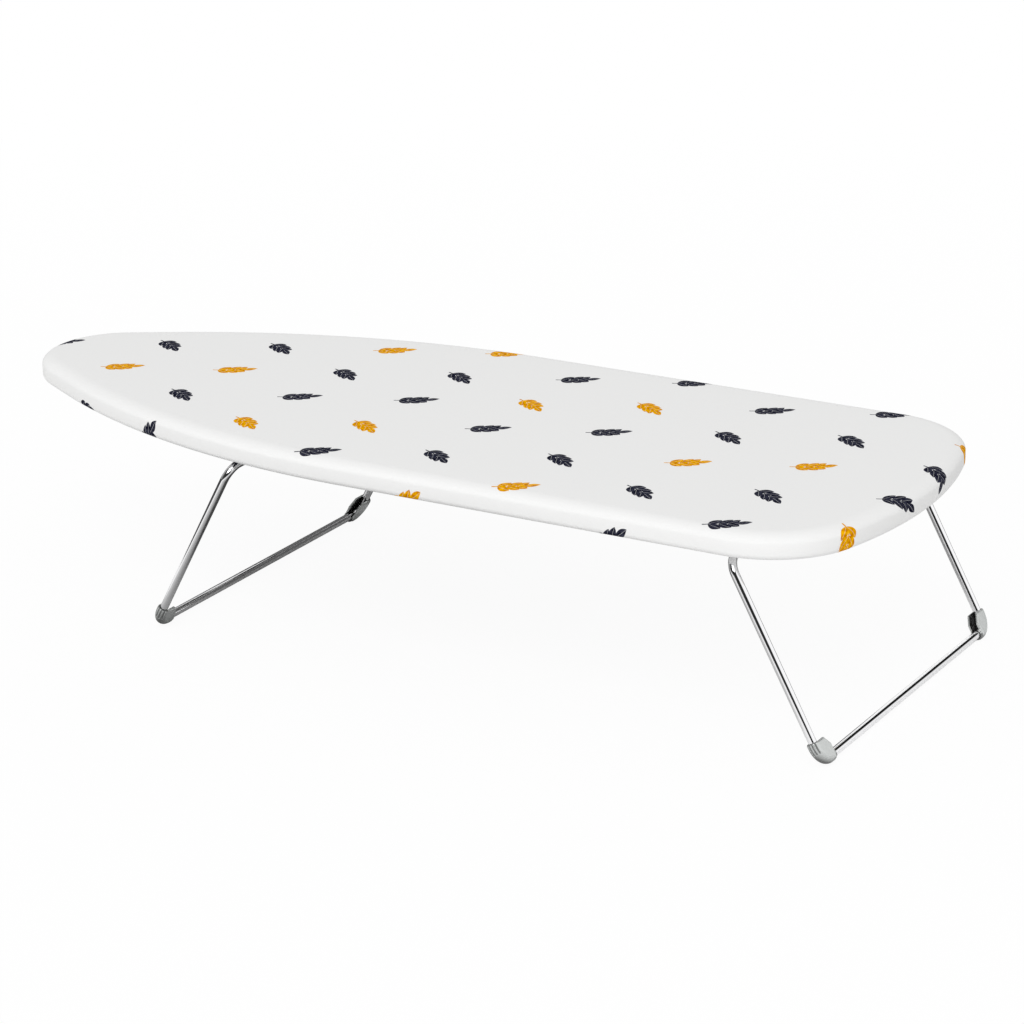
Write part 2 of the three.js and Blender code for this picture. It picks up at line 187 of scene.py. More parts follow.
def length_of(tree, vector):
    return add_node(tree, "VectorMath", {"operation": "LENGTH"}, Vector=vector).outputs["Value"]


def ramp(tree, value, stops):
    """A grey that runs through stops of place and level."""
    made = add_node(tree, "ValToRGB", Fac=value)
    elements = made.color_ramp.elements
    for place, level in stops[1:-1]:
        elements.new(place).color = grey(level)
    for element, (place, level) in ((elements[0], stops[0]), (elements[-1], stops[-1])):
        element.position = place
        element.color = grey(level)
    return made.outputs["Color"]


def mix_shaders(tree, factor, first, second):
    mixed = add_node(tree, "MixShader", Fac=factor)
    tree.links.new(first.outputs[0], mixed.inputs[1])
    tree.links.new(second.outputs[0], mixed.inputs[2])
    return mixed


# %% Colour of the floor
FLOOR_PALE = 0.92
TABLE_SHADE_AT = (-0.02, -0.06, 0)
TABLE_SHADE_REACH = (0.26, 0.32, 1)
TABLE_FAR = 4
SHADE_LEVELS = [(0, 0.25), (0.5, 0.35), (1.2, 0.92), (TABLE_FAR, 0.92)]
TABLE_LEVELS = [
    (0, 0.08), (0.38, 0.08), (0.5, 0.30), (0.9, 0.60), (1.2, 0.62),
    (1.4, 0.97), (2.1, 1), (2.7, 0.1), (TABLE_FAR, 0.06),
]


def floor_color(tree, place, rays):
    """Pale to the camera, shaded to other light, and a lit table top to mirror-like rays."""
    table = add_node(
        tree, "Mapping", {"vector_type": "TEXTURE"},
        Vector=place, Location=TABLE_SHADE_AT, Scale=TABLE_SHADE_REACH,
    )
    outward = calc(tree, "DIVIDE", length_of(tree, table.outputs[0]), TABLE_FAR)
    shaded, mirrored = (
        ramp(tree, outward, [(reach / TABLE_FAR, level) for reach, level in levels])
        for levels in (SHADE_LEVELS, TABLE_LEVELS)
    )
    matt = blend_colors(tree, rays["Is Camera Ray"], shaded, grey(FLOOR_PALE))
    return blend_colors(tree, rays["Is Glossy Ray"], matt, mirrored)


# %% Finish of the floor
FLOOR_GLOW_NEAR = 0.93
GLOW_FULL_FROM = 1.6


def floor_material():
    material, tree = start_material("pale_floor")
    rays = add_node(tree, "LightPath").outputs
    geometry = add_node(tree, "NewGeometry").outputs
    place = geometry["Position"]
    seen = calc(tree, "MAXIMUM", rays["Is Camera Ray"], rays["Is Transmission Ray"])
    glow_share = remap(tree, length_of(tree, place), (0, GLOW_FULL_FROM), (FLOOR_GLOW_NEAR, 1))
    matt = add_node(tree, "BsdfDiffuse", Color=floor_color(tree, place, rays))
    glow = add_node(tree, "Emission", Color=grey(1), Strength=1)
    lit = mix_shaders(tree, calc(tree, "MULTIPLY", seen, glow_share), matt, glow)
    from_below = calc(tree, "MULTIPLY", geometry["Backfacing"], rays["Is Camera Ray"])
    show_surface(tree, mix_shaders(tree, from_below, lit, add_node(tree, "BsdfTransparent")))
    return material


pale_floor = floor_material()
print(pale_floor.name, len(pale_floor.node_tree.nodes), "nodes")

# %% Floor
FLOOR_RADIUS = 9
FLOOR_SIDES = 64
FLOOR_BELOW_FEET = 0.0003


def make_floor():
    shape = bmesh.new()
    bmesh.ops.create_circle(shape, cap_ends=True, segments=FLOOR_SIDES, radius=FLOOR_RADIUS)
    mesh = bpy.data.meshes.new("floor")
    shape.to_mesh(mesh)
    shape.free()
    mesh.materials.append(pale_floor)
    floor = bpy.data.objects.new("floor", mesh)
    floor.location.z = -FLOOR_BELOW_FEET
    scene.collection.objects.link(floor)
    print("floor", FLOOR_RADIUS * 2, "m across")


make_floor()

# %% [markdown]
# The light is one big soft source in front, a little to the left of the camera and above it,
# and an even pale surround. That is what the cover's shading shows: its front side is a little
# brighter than its top. Polished rods need something dark to mirror, or they turn into white
# paper. So mirror-like rays see a studio: white to the right and behind, a dark room in front,
# grey to the left, and a dark panel high up behind. A black card bent up behind the nose, which
# shows in reflections only, keeps the nose leg's floor bar grey as in the photograph.

# %% Studio in the mirror images
STUDIO_WALLS = [
    (-180, 1), (-125, 1), (-95, 0.4), (-40, 0.05), (0, 0.02), (54, 0.02),
    (64, 1), (148, 1), (156, 0.4), (170, 0.4), (180, 1),
]
PANEL_TURNS = [(-180, 1), (-174, 1), (-172, 0), (140, 0), (146, 1), (180, 1)]
PANEL_HEIGHTS = [(0, 0), (18, 0), (21, 0.98), (90, 0.98)]


def studio_seen_by_mirrors(tree):
    heading = add_node(tree, "TexCoord").outputs["Generated"]
    parts = add_node(tree, "SeparateXYZ", Vector=heading)
    towards_front = calc(tree, "MULTIPLY", parts.outputs["Y"], -1)
    turn = calc(tree, "ARCTAN2", parts.outputs["X"], towards_front)
    turn_share = calc(tree, "MULTIPLY_ADD", turn, 0.5 / math.pi, 0.5)
    walls, panel_turn = (
        ramp(tree, turn_share, [(degrees / 360 + 0.5, level) for degrees, level in stops])
        for stops in (STUDIO_WALLS, PANEL_TURNS)
    )
    heights = [(math.sin(math.radians(degrees)), level) for degrees, level in PANEL_HEIGHTS]
    panel = calc(tree, "MULTIPLY", panel_turn, ramp(tree, parts.outputs["Z"], heights))
    return calc(tree, "MULTIPLY", walls, calc(tree, "SUBTRACT", 1, panel))


# %% Surround
SURROUND_LEVEL = 0.62


def make_surround():
    world = bpy.data.worlds.new("studio")
    world.use_nodes = True
    tree = world.node_tree
    tree.nodes.clear()
    rays = add_node(tree, "LightPath").outputs
    plain = calc(tree, "MAXIMUM", rays["Is Camera Ray"], rays["Is Transmission Ray"])
    studio = studio_seen_by_mirrors(tree)
    lit = blend_colors(tree, rays["Is Glossy Ray"], grey(SURROUND_LEVEL), studio)
    color = blend_colors(tree, plain, lit, grey(1))
    background = add_node(tree, "Background", Color=color, Strength=1)
    add_node(tree, "OutputWorld", Surface=background.outputs[0])
    scene.world = world
    print(world.name, len(tree.nodes), "nodes")


make_surround()

# %% Black card
CARD_ENDS = (-0.85, 0.14)
CARD_BEND = [(0.15, 0.002), (0.30, 0.002), (0.30, 0.24)]
CARD_GREY = 0.13


def make_black_card():
    """A card that casts no shadow and is seen by mirror-like rays alone."""
    material, tree = start_material("black_card")
    show_surface(tree, add_node(tree, "BsdfDiffuse", Color=grey(CARD_GREY)))
    mesh = bpy.data.meshes.new("black_card")
    corners = [(x, y, z) for y, z in CARD_BEND for x in CARD_ENDS]
    mesh.from_pydata(corners, [], [(0, 1, 3, 2), (2, 3, 5, 4)])
    mesh.materials.append(material)
    card = bpy.data.objects.new("black_card", mesh)
    for rays in ("camera", "diffuse", "transmission", "shadow"):
        setattr(card, f"visible_{rays}", False)
    scene.collection.objects.link(card)
    print("black card", [round(v, 2) for v in card.dimensions], "m")


make_black_card()


# %% Lamp
def make_lamp(name, azimuth, elevation, distance, size, power):
    """A square soft lamp that looks at the middle of the board."""
    towards = way_to(azimuth, elevation)
    data = bpy.data.lights.new(name, "AREA")
    data.shape = "SQUARE"
    data.size = size
    data.energy = power
    lamp = bpy.data.objects.new(name, data)
    lamp.location = LOOKED_AT + towards * distance
    lamp.rotation_euler = towards.to_track_quat("Z", "Y").to_euler()
    scene.collection.objects.link(lamp)
    print(name, "at", [round(v, 2) for v in lamp.location], power, "W")


make_lamp("key_lamp", azimuth=15, elevation=45, distance=10, size=7, power=515)
# the default view would turn whites grey
scene.view_settings.view_transform = "Standard"

# %% [markdown]
# The cover is plain-woven cotton with a small print in navy and mustard. A picture could be
# laid on it, but a drawn pattern stays sharp at any distance and needs no file. A sprig is a
# bowed stem with pairs of leaves. Math nodes work out how deep a place lies inside its outline,
# below 0 outside and above 0 inside, so that one threshold draws it.

# %% Leaf
LEAF_HALF_WIDTH = 0.0031
LEAF_RIB_HALF_WIDTH = 0.00005


def leaf(tree, place, start, turn, length):
    """Above 0 inside one leaf that is split by its rib, on a stem that runs along X."""
    own_place = add_node(
        tree, "Mapping", {"vector_type": "TEXTURE"},
        Vector=place, Location=(start, 0, 0), Rotation=(0, 0, turn),
    )
    parts = add_node(tree, "SeparateXYZ", Vector=own_place.outputs[0])
    share = calc(tree, "DIVIDE", parts.outputs["X"], length)
    bulge = calc(tree, "MULTIPLY", share, calc(tree, "SUBTRACT", 1, share))
    half = calc(tree, "MULTIPLY", bulge, 4 * LEAF_HALF_WIDTH)
    across = calc(tree, "ABSOLUTE", parts.outputs["Y"])
    inside = calc(tree, "SUBTRACT", half, across)
    return calc(tree, "MINIMUM", inside, calc(tree, "SUBTRACT", across, LEAF_RIB_HALF_WIDTH))


print("a leaf is", LEAF_HALF_WIDTH * 2000, "mm wide")

# %% Sprig
SPRIG_BEND = 6
SPRIG_LENGTH = 0.033
STEM_HALF_WIDTH = 0.0006
LEAF_TURN = math.radians(40)
LEAF_STARTS_AND_LENGTHS = [(0.0040, 0.0115), (0.0108, 0.0118), (0.0172, 0.0100)]
TIP_LEAF_START, TIP_LEAF_LENGTH = 0.0212, 0.0118


def sprig(tree, along, across):
    """Above 0 inside a sprig that starts at 0 and runs along X, with mirrored pairs of leaves."""
    bow = calc(tree, "MULTIPLY", calc(tree, "POWER", along, 2), SPRIG_BEND)
    aside = calc(tree, "ABSOLUTE", calc(tree, "SUBTRACT", across, bow))
    stem = calc(tree, "SUBTRACT", STEM_HALF_WIDTH, aside)
    stem = calc(tree, "MINIMUM", stem, along)
    found = calc(tree, "MINIMUM", stem, calc(tree, "SUBTRACT", TIP_LEAF_START, along))
    place = add_node(tree, "CombineXYZ", X=along, Y=aside).outputs[0]
    for start, length in LEAF_STARTS_AND_LENGTHS:
        found = calc(tree, "MAXIMUM", found, leaf(tree, place, start, LEAF_TURN, length))
    return calc(tree, "MAXIMUM", found, leaf(tree, place, TIP_LEAF_START, 0, TIP_LEAF_LENGTH))


print("a sprig has", 2 * len(LEAF_STARTS_AND_LENGTHS) + 1, "leaves on", SPRIG_LENGTH * 1000, "mm")

# %% [markdown]
# A printer's roller repeats one figure over the whole cloth. Copies of a drawing could be laid
# out one by one, but a remainder after division folds the whole cut on to one repeat, so one
# sprig is enough. The sprigs stand in a half-drop: every other column is half a step off. Each
# second one is mirrored, and each third one is mustard.

# %% Print
PRINT_COLUMN = 0.080
PRINT_ROW = 0.066
SPRIG_TURN = math.radians(22)
INK_EDGE = 0.00012


def from_cell_middle(tree, run, size):
    """How far a place lies from the middle of its repeat, from its run in repeats."""
    return calc(tree, "MULTIPLY", calc(tree, "SUBTRACT", calc(tree, "FRACT", run), 0.5), size)


def sprig_print(tree, cut):
    """The ink's cover from 0 to 1, and 1 where a sprig is mustard, over the flat cut."""
    parts = add_node(tree, "SeparateXYZ", Vector=cut)
    column_run = calc(tree, "DIVIDE", parts.outputs["X"], PRINT_COLUMN)
    column = calc(tree, "FLOOR", column_run)
    drop = calc(tree, "MULTIPLY", calc(tree, "FLOORED_MODULO", column, 2), 0.5)
    row_run = calc(tree, "ADD", calc(tree, "DIVIDE", parts.outputs["Y"], PRINT_ROW), drop)
    row = calc(tree, "FLOOR", row_run)
    x = from_cell_middle(tree, column_run, PRINT_COLUMN)
    y = from_cell_middle(tree, row_run, PRINT_ROW)
    odd = calc(tree, "FLOORED_MODULO", calc(tree, "ADD", column, row), 2)
    side = calc(tree, "SUBTRACT", calc(tree, "MULTIPLY", odd, 2), 1)
    turned = calc(tree, "MULTIPLY", y, side)
    cosine, sine = math.cos(SPRIG_TURN), math.sin(SPRIG_TURN)
    along = calc(tree, "ADD", calc(tree, "MULTIPLY", x, cosine), calc(tree, "MULTIPLY", turned, sine))
    across = calc(
        tree, "SUBTRACT", calc(tree, "MULTIPLY", turned, cosine), calc(tree, "MULTIPLY", x, sine),
    )
    depth = sprig(tree, calc(tree, "ADD", along, SPRIG_LENGTH / 2), across)
    cover = remap(tree, depth, (-INK_EDGE, INK_EDGE), (0, 1))
    third = calc(tree, "FLOORED_MODULO", calc(tree, "ADD", column, calc(tree, "MULTIPLY", row, 2)), 3)
    return cover, calc(tree, "LESS_THAN", third, 0.5)


print("one sprig in every", PRINT_COLUMN * 1000, "by", PRINT_ROW * 1000, "mm")

# %% [markdown]
# Close up, ink soaks into cloth unevenly and threads cross over and under. So each dye has a
# thin and a deep shade, mixed in patches by noise, and the weave is a fine bump. Both could be
# read from an unwrapped picture. Here the cotton's flat cut is stored on the mesh as a
# coordinate, so the print turns over the edge as printed cloth does.

# %% Inks
INK_PATCHES = 350
INK_THIN_BELOW, INK_DEEP_ABOVE = 0.35, 0.65
NAVY_THIN, NAVY_DEEP = rgb(0.042, 0.044, 0.068), rgb(0.003, 0.0035, 0.012)
MUSTARD_THIN, MUSTARD_DEEP = rgb(0.92, 0.47, 0.001), rgb(0.57, 0.195, 0.0005)


def noise(tree, place, scale, detail=2):
    return add_node(tree, "TexNoise", Vector=place, Scale=scale, Detail=detail).outputs["Fac"]


def soaked_dye(tree, cut, mustard):
    """Navy or mustard, thin in some patches of the cloth and deep in others."""
    soaked = remap(tree, noise(tree, cut, INK_PATCHES), (INK_THIN_BELOW, INK_DEEP_ABOVE), (0, 1))
    thin = blend_colors(tree, mustard, NAVY_THIN, MUSTARD_THIN)
    deep = blend_colors(tree, mustard, NAVY_DEEP, MUSTARD_DEEP)
    return blend_colors(tree, soaked, thin, deep)


# %% Weave
THREAD_PITCH = 0.00055


def weave_height(tree, cut):
    """Height of a plain weave: each thread rises over one neighbour and dives under the next."""
    parts = add_node(tree, "SeparateXYZ", Vector=cut)
    waves = []
    for axis in ("X", "Y"):
        turn = calc(tree, "MULTIPLY", parts.outputs[axis], math.pi / THREAD_PITCH)
        waves.append(calc(tree, "SINE", turn))
    return calc(tree, "MULTIPLY", waves[0], waves[1])


print("threads", THREAD_PITCH * 1000, "mm apart")


# %% Stored values, bump and shader
def stored(tree, name, output):
    """A value that the mesh carries at its points."""
    return add_node(tree, "Attribute", {"attribute_name": name}).outputs[output]


def relief(tree, height, strength, distance):
    """Bump for a shader's normal."""
    return add_node(tree, "Bump", Height=height, Strength=strength, Distance=distance).outputs[0]


def dress(material, tree, **inputs):
    """Finishes a material with one Principled shader, its inputs wired or given a value."""
    show_surface(tree, add_node(tree, "BsdfPrincipled", **inputs))
    print(material.name, len(tree.nodes), "nodes")
    return material


# %% Printed cotton
THREAD_RELIEF = 0.00005
THREAD_SLUBS = 900
COTTON_WHITE = rgb(0.88, 0.88, 0.875)
COTTON_SHADE = rgb(0.84, 0.84, 0.835)


def printed_cotton():
    material, tree = start_material("printed_cotton")
    cut = stored(tree, "flat_cut", "Vector")
    ink, mustard = sprig_print(tree, cut)
    ground = blend_colors(tree, noise(tree, cut, THREAD_SLUBS, detail=3), COTTON_SHADE, COTTON_WHITE)
    color = blend_colors(tree, ink, ground, soaked_dye(tree, cut, mustard))
    weave = relief(tree, weave_height(tree, cut), strength=0.5, distance=THREAD_RELIEF)
    return dress(material, tree, Base_Color=color, Roughness=0.9, Specular_IOR_Level=0, Normal=weave)


cotton = printed_cotton()

# %% [markdown]
# Under the cotton are cheaper finishes: grey open-cell foam, dull galvanised sheet, a knitted
# elastic and white sewing thread. Each gets the detail that it shows close up, which is cells
# in the foam, zinc spangle on the sheet and a fine knit grain on the elastic. Pictures of them
# would blur close up, while Blender's cell and noise textures stay sharp.

# %% Foam and zinc
FOAM_PALE, FOAM_CELL = rgb(0.62, 0.61, 0.57), rgb(0.40, 0.39, 0.36)
ZINC_DARK, ZINC_BRIGHT = rgb(0.47, 0.48, 0.49), rgb(0.72, 0.73, 0.74)
SPANGLE_SHARE, CLOUD_SHARE = 0.55, 0.45


def object_place(tree):
    return add_node(tree, "TexCoord").outputs["Object"]


def open_cell_foam():
    material, tree = start_material("open_cell_foam")
    cells = add_node(tree, "TexVoronoi", Vector=object_place(tree), Scale=1400).outputs["Distance"]
    color = blend_colors(tree, cells, FOAM_PALE, FOAM_CELL)
    pores = relief(tree, cells, strength=0.7, distance=0.0004)
    return dress(material, tree, Base_Color=color, Roughness=0.95, Normal=pores)


def galvanised_sheet():
    material, tree = start_material("galvanised_sheet")
    place = object_place(tree)
    spangle = add_node(tree, "TexVoronoi", Vector=place, Scale=160).outputs["Color"]
    flake = add_node(tree, "SeparateXYZ", Vector=spangle).outputs["X"]
    cloud = calc(tree, "MULTIPLY", noise(tree, place, scale=45, detail=4), CLOUD_SHARE)
    zinc_tone = calc(tree, "MULTIPLY_ADD", flake, SPANGLE_SHARE, cloud)
    return dress(
        material, tree,
        Base_Color=blend_colors(tree, zinc_tone, ZINC_DARK, ZINC_BRIGHT),
        Metallic=0.9,
        Roughness=remap(tree, zinc_tone, (0, 1), (0.34, 0.52)),
        Normal=relief(tree, noise(tree, place, scale=1500), strength=0.12, distance=0.0001),
    )


foam = open_cell_foam()
zinc = galvanised_sheet()

# %% Elastic and thread
ELASTIC_SHADE, ELASTIC_WHITE = rgb(0.70, 0.69, 0.66), rgb(0.84, 0.83, 0.80)
THREAD_SHADE, THREAD_WHITE = rgb(0.74, 0.74, 0.72), rgb(0.86, 0.86, 0.84)


def knitted_elastic():
    material, tree = start_material("knitted_elastic")
    knit = noise(tree, object_place(tree), scale=1800)
    color = blend_colors(tree, knit, ELASTIC_SHADE, ELASTIC_WHITE)
    grain = relief(tree, knit, strength=0.5, distance=0.0003)
    return dress(material, tree, Base_Color=color, Roughness=0.9, Normal=grain)


def sewing_thread():
    material, tree = start_material("sewing_thread")
    color = blend_colors(tree, noise(tree, object_place(tree), scale=3000), THREAD_SHADE, THREAD_WHITE)
    return dress(material, tree, Base_Color=color, Roughness=0.7, Sheen_Weight=0.2)


elastic = knitted_elastic()
thread = sewing_thread()

# %% [markdown]
# The legs are bright plated rod. Plating mirrors almost everything, with faint lines along the
# rod from drawing it. A plain noise would make spots, so it is stretched along a coordinate
# that each rod carries.

# %% Plated rod
PLATING_DULL, PLATING_BRIGHT = rgb(0.90, 0.90, 0.91), rgb(0.98, 0.98, 0.99)
DRAWN_LINES = (12, 2600, 1)


def plated_rod():
    material, tree = start_material("plated_rod")
    stretched = add_node(tree, "Mapping", Vector=stored(tree, "rod_run", "Vector"), Scale=DRAWN_LINES)
    lines = noise(tree, stretched.outputs[0], scale=1, detail=3)
    return dress(
        material, tree,
        Base_Color=blend_colors(tree, lines, PLATING_DULL, PLATING_BRIGHT),
        Metallic=1,
        Roughness=remap(tree, lines, (0, 1), (0.04, 0.10)),
        Normal=relief(tree, lines, strength=0.05, distance=0.0001),
    )


chrome = plated_rod()

# %% [markdown]
# The feet are moulded plastic, a satin silver grey with a half-metallic shine and the fine grain
# of the mould. Painted shade takes it almost black in their channels and grooves, and darker
# underneath. Separate materials would leave hard borders there, so a painted shade stored on the
# feet blends between the two tones.

# %% Moulded plastic
PLASTIC_SHADE, PLASTIC_PALE = rgb(0.60, 0.62, 0.61), rgb(0.68, 0.70, 0.69)
# painted shade: the near black that stands in for shade in the feet's channels, grooves and undersides
PLASTIC_PAINTED_SHADE = grey(0.03)
SILVER_SHARE = 0.5


def moulded_plastic():
    material, tree = start_material("moulded_plastic")
    place = object_place(tree)
    cloud = noise(tree, place, scale=120, detail=3)
    # the stored painted shade darkens the plastic and takes away its metallic shine
    shade = stored(tree, "foot_painted_shade", "Fac")
    outside = blend_colors(tree, cloud, PLASTIC_SHADE, PLASTIC_PALE)
    return dress(
        material, tree,
        Base_Color=blend_colors(tree, shade, outside, PLASTIC_PAINTED_SHADE),
        Metallic=remap(tree, shade, (0, 1), (SILVER_SHARE, 0)),
        Roughness=remap(tree, cloud, (0, 1), (0.18, 0.28)),
        Normal=relief(tree, noise(tree, place, scale=2600), strength=0.08, distance=0.0001),
    )


plastic = moulded_plastic()

# %% [markdown]
# Most of the board follows one plan: a round nose that flares into long sides, and a slightly
# bowed tail with round corners. The plan is kept as samples, each with the centre and radius
# of its arc and the way it faces. A parallel line at any inset is then one short formula, and
# rings at different insets have matching points, ready to be joined with quads.

# %% Arcs of the plan
NOSE_RADIUS = 0.060
FLARE_ANGLE = math.radians(30)
SHOULDER_RADIUS = 0.586
TAIL_CORNER_RADIUS = 0.072
TAIL_RADIUS = 0.350
board_low, board_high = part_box("cover")


def plan_arcs():
    """The arcs of one side from the tail's middle to the nose: centre, radius, start and end."""
    half = board_high.y
    nose_x = board_low.x + NOSE_RADIUS
    rise = SHOULDER_RADIUS - NOSE_RADIUS + (half - SHOULDER_RADIUS) * math.cos(FLARE_ANGLE)
    shoulder_x = nose_x + rise / math.sin(FLARE_ANGLE)
    tail_x = board_high.x - TAIL_RADIUS
    corner_y = half - TAIL_CORNER_RADIUS
    corner_reach = math.sqrt((TAIL_RADIUS - TAIL_CORNER_RADIUS) ** 2 - corner_y**2)
    corner_angle = math.atan2(corner_y, corner_reach)
    side, flare = math.pi / 2, math.pi / 2 + FLARE_ANGLE
    return [
        (tail_x, 0, TAIL_RADIUS, 0, corner_angle),
        (tail_x + corner_reach, corner_y, TAIL_CORNER_RADIUS, corner_angle, side),
        (shoulder_x, half - SHOULDER_RADIUS, SHOULDER_RADIUS, side, flare),
        (nose_x, 0, NOSE_RADIUS, flare, math.pi),
    ]


print("half the plan is", len(plan_arcs()), "arcs")

# %% Samples of the plan
GENTLE_SPACING = 0.0022
TIGHT_SPACING_TO_RADIUS = 0.021


def straight_samples(last, following):
    """Samples on the straight run from an arc's end to the next arc's start."""
    last, following = np.array(last[:4]), np.array(following)
    last[3] = following[3]
    outward = np.array([math.cos(following[3]), math.sin(following[3])])
    start, end = (row[:2] + row[2] * outward for row in (last, following))
    steps = round(float(np.linalg.norm(end - start)) / GENTLE_SPACING)
    return [(*(last + (following - last) * i / steps), 0.0) for i in range(steps)]


def plan_samples():
    """Rows of centre x, centre y, radius, facing angle and curvature, anticlockwise from the tail."""
    rows = []
    arcs = plan_arcs()
    for x, y, radius, start, end in arcs:
        if rows:
            rows += straight_samples(rows[-1], (x, y, radius, start))
        spacing = min(GENTLE_SPACING, radius * TIGHT_SPACING_TO_RADIUS)
        steps = math.ceil(radius * (end - start) / spacing)
        for angle in np.linspace(start, end, steps, endpoint=False):
            rows.append((x, y, radius, angle, 1 / radius))
    x, y, radius, _, end = arcs[-1]
    rows.append((x, y, radius, end, 1 / radius))
    mirrored = [(x, -y, radius, -angle, bend) for x, y, radius, angle, bend in rows[-2:0:-1]]
    return np.array(rows + mirrored)


plan = plan_samples()
print(len(plan), "samples round the board")

# %% Lines at an inset
facing = np.column_stack([np.cos(plan[:, 3]), np.sin(plan[:, 3])])


def plan_line(inset):
    """The plan's points at an inset from the board's edge."""
    return plan[:, :2] + (plan[:, 2] - inset)[:, None] * facing


edge_line = plan_line(0)
edge_steps = np.linalg.norm(np.roll(edge_line, -1, axis=0) - edge_line, axis=1)
print("the edge is", round(float(edge_steps.sum()), 3), "m round")

# %% [markdown]
# The cover is one cut of cotton, drawn over the foam and gathered under the board by an
# elastic in its hem. A cloth simulation would find a similar shape, but a taut cover is fixed
# by what it wraps: a flat top, a soft edge, a short side and a hem. So its section is drawn as
# points and carried round the plan. Where the plan curves, the cut has more edge than the hem
# has room for, and that spare length goes into small gathers that grow towards the elastic.

# %% Edge of the cover
EDGE_SOFT_WIDTH = 0.012
EDGE_SOFT_DROP = 0.0065
EDGE_STEPS = 12
LOWER_EDGE_RADIUS = 0.0045
LOWER_EDGE_STEPS = 7
top_z, bottom_z = board_high.z, board_low.z


def arc_points(middle, size, start_degrees, end_degrees, steps):
    """Points on an ellipse in section, as inset and height, without the first one."""
    angles = np.radians(np.linspace(start_degrees, end_degrees, steps + 1))[1:]
    return [(middle[0] - size[0] * math.cos(a), middle[1] + size[1] * math.sin(a)) for a in angles]


def edge_section():
    """Inset and height from the flat top, over the soft edge and down the side, to the underside."""
    side_top, side_low = top_z - EDGE_SOFT_DROP, bottom_z + LOWER_EDGE_RADIUS
    soft = (EDGE_SOFT_WIDTH, EDGE_SOFT_DROP)
    lower = (LOWER_EDGE_RADIUS, LOWER_EDGE_RADIUS)
    shape = [(EDGE_SOFT_WIDTH, top_z)]
    shape += arc_points((EDGE_SOFT_WIDTH, side_top), soft, 90, 0, EDGE_STEPS)
    shape += [(0, (side_top + side_low) / 2), (0, side_low)]
    return shape + arc_points((LOWER_EDGE_RADIUS, side_low), lower, 0, -90, LOWER_EDGE_STEPS)


print("the edge has", len(edge_section()), "points in section")

# %% Section of the cover
HEM_WIDTH = 0.030
HEM_STEPS = 10
STITCH_INSET = 0.0228
CASING_ABOVE_BOTTOM = 0.0005
CASING_HEIGHT = 0.0025
CASING_OUT_SHARES = (0.3, 0.6, 0.85, 1)
CASING_TURN_DEGREES = (-60, -30, 0, 30, 60)
CASING_BACK_SHARES = (1, 0.8, 0.5, 0.2)
CASING_BACK_GATHERS = 0.8
GATHER_GROWTH = 1.5
CLOTH_THICKNESS = 0.00045
casing_low = bottom_z + CASING_ABOVE_BOTTOM
casing_high = casing_low + CASING_HEIGHT


def cover_section():
    """Inset, height and share of the gathers (below 0 pushes down) from the top to the hem's end."""
    rows = [(inset, z, 0.0) for inset, z in edge_section()]
    for share in np.linspace(0, 1, HEM_STEPS + 1)[1:]:
        inset = LOWER_EDGE_RADIUS + (STITCH_INSET - LOWER_EDGE_RADIUS) * share
        rows.append((inset, bottom_z + (casing_low - bottom_z) * share, -(share**GATHER_GROWTH)))
    turn = (casing_high - casing_low) / 2
    inner = HEM_WIDTH - turn
    for share in CASING_OUT_SHARES:
        rows.append((STITCH_INSET + (inner - STITCH_INSET) * share, casing_low, -1.0))
    for angle in np.radians(CASING_TURN_DEGREES):
        reach = inner + turn * math.cos(angle)
        rows.append((reach, casing_low + turn + turn * math.sin(angle), math.sin(angle)))
    for share in CASING_BACK_SHARES:
        rows.append((STITCH_INSET + (inner - STITCH_INSET) * share, casing_high, CASING_BACK_GATHERS))
    rows.append((STITCH_INSET, casing_low + 2 * CLOTH_THICKNESS, -1.0))
    return np.array(rows)


section = cover_section()
section_steps = np.linalg.norm(np.diff(section[:, :2], axis=0), axis=1)
section_run = np.concatenate([[0], np.cumsum(section_steps)])
print("cover section", len(section), "points,", round(float(section_run[-1]) * 1000, 1), "mm long")

# %% [markdown]
# Gathers are waves along the hem. Even waves look like a machine part, so their length and
# height wander. A sum of a few slow sines does that and is the same on every run. Over the
# leg pivots the hem lies between a rail and a rod, so the waves are pressed flat there.

# %% Wander and tightness
GATHER_BLUR_SAMPLES = 25
WANDER_TURNS = (7, 13, 19, 31, 47)
WANDER_REACH = 3


def wander(run, seed):
    """A slow smooth wave, mostly between -1 and 1, that doesn't repeat along the hem."""
    total = float(edge_steps.sum())
    found = np.zeros_like(run)
    for k, turns in enumerate(WANDER_TURNS):
        found += np.sin(2 * np.pi * turns * run / total + seed * (k + 1) ** 2)
    return found / WANDER_REACH


def plan_tightness():
    """1 where the plan curves as it does at the nose, 0 where it is straight, and blurred between."""
    count = len(plan)
    tightness = np.clip(plan[:, 4] * NOSE_RADIUS, 0, 1)
    blur = np.ones(GATHER_BLUR_SAMPLES) / GATHER_BLUR_SAMPLES
    return np.convolve(np.tile(tightness, 3), blur, "same")[count: 2 * count]


# %% Gathers of the hem
GATHER_HEIGHT = 0.0019
GATHER_LENGTH_TIGHT = 0.0088
GATHER_LENGTH_GENTLE = 0.0130
GATHER_LEAST_SHARE = 0.14
LENGTH_WANDER, LENGTH_SEED = 1.6, 1.3
HEIGHT_WANDER, HEIGHT_SEED = 0.45, 2.9
PIVOT_ROOM = 0.026
PIVOT_LEAST_SHARE = 0.12
pivots = {joint["child"]: Vector(joint["pos_m"]) for joint in frame["joints"]}


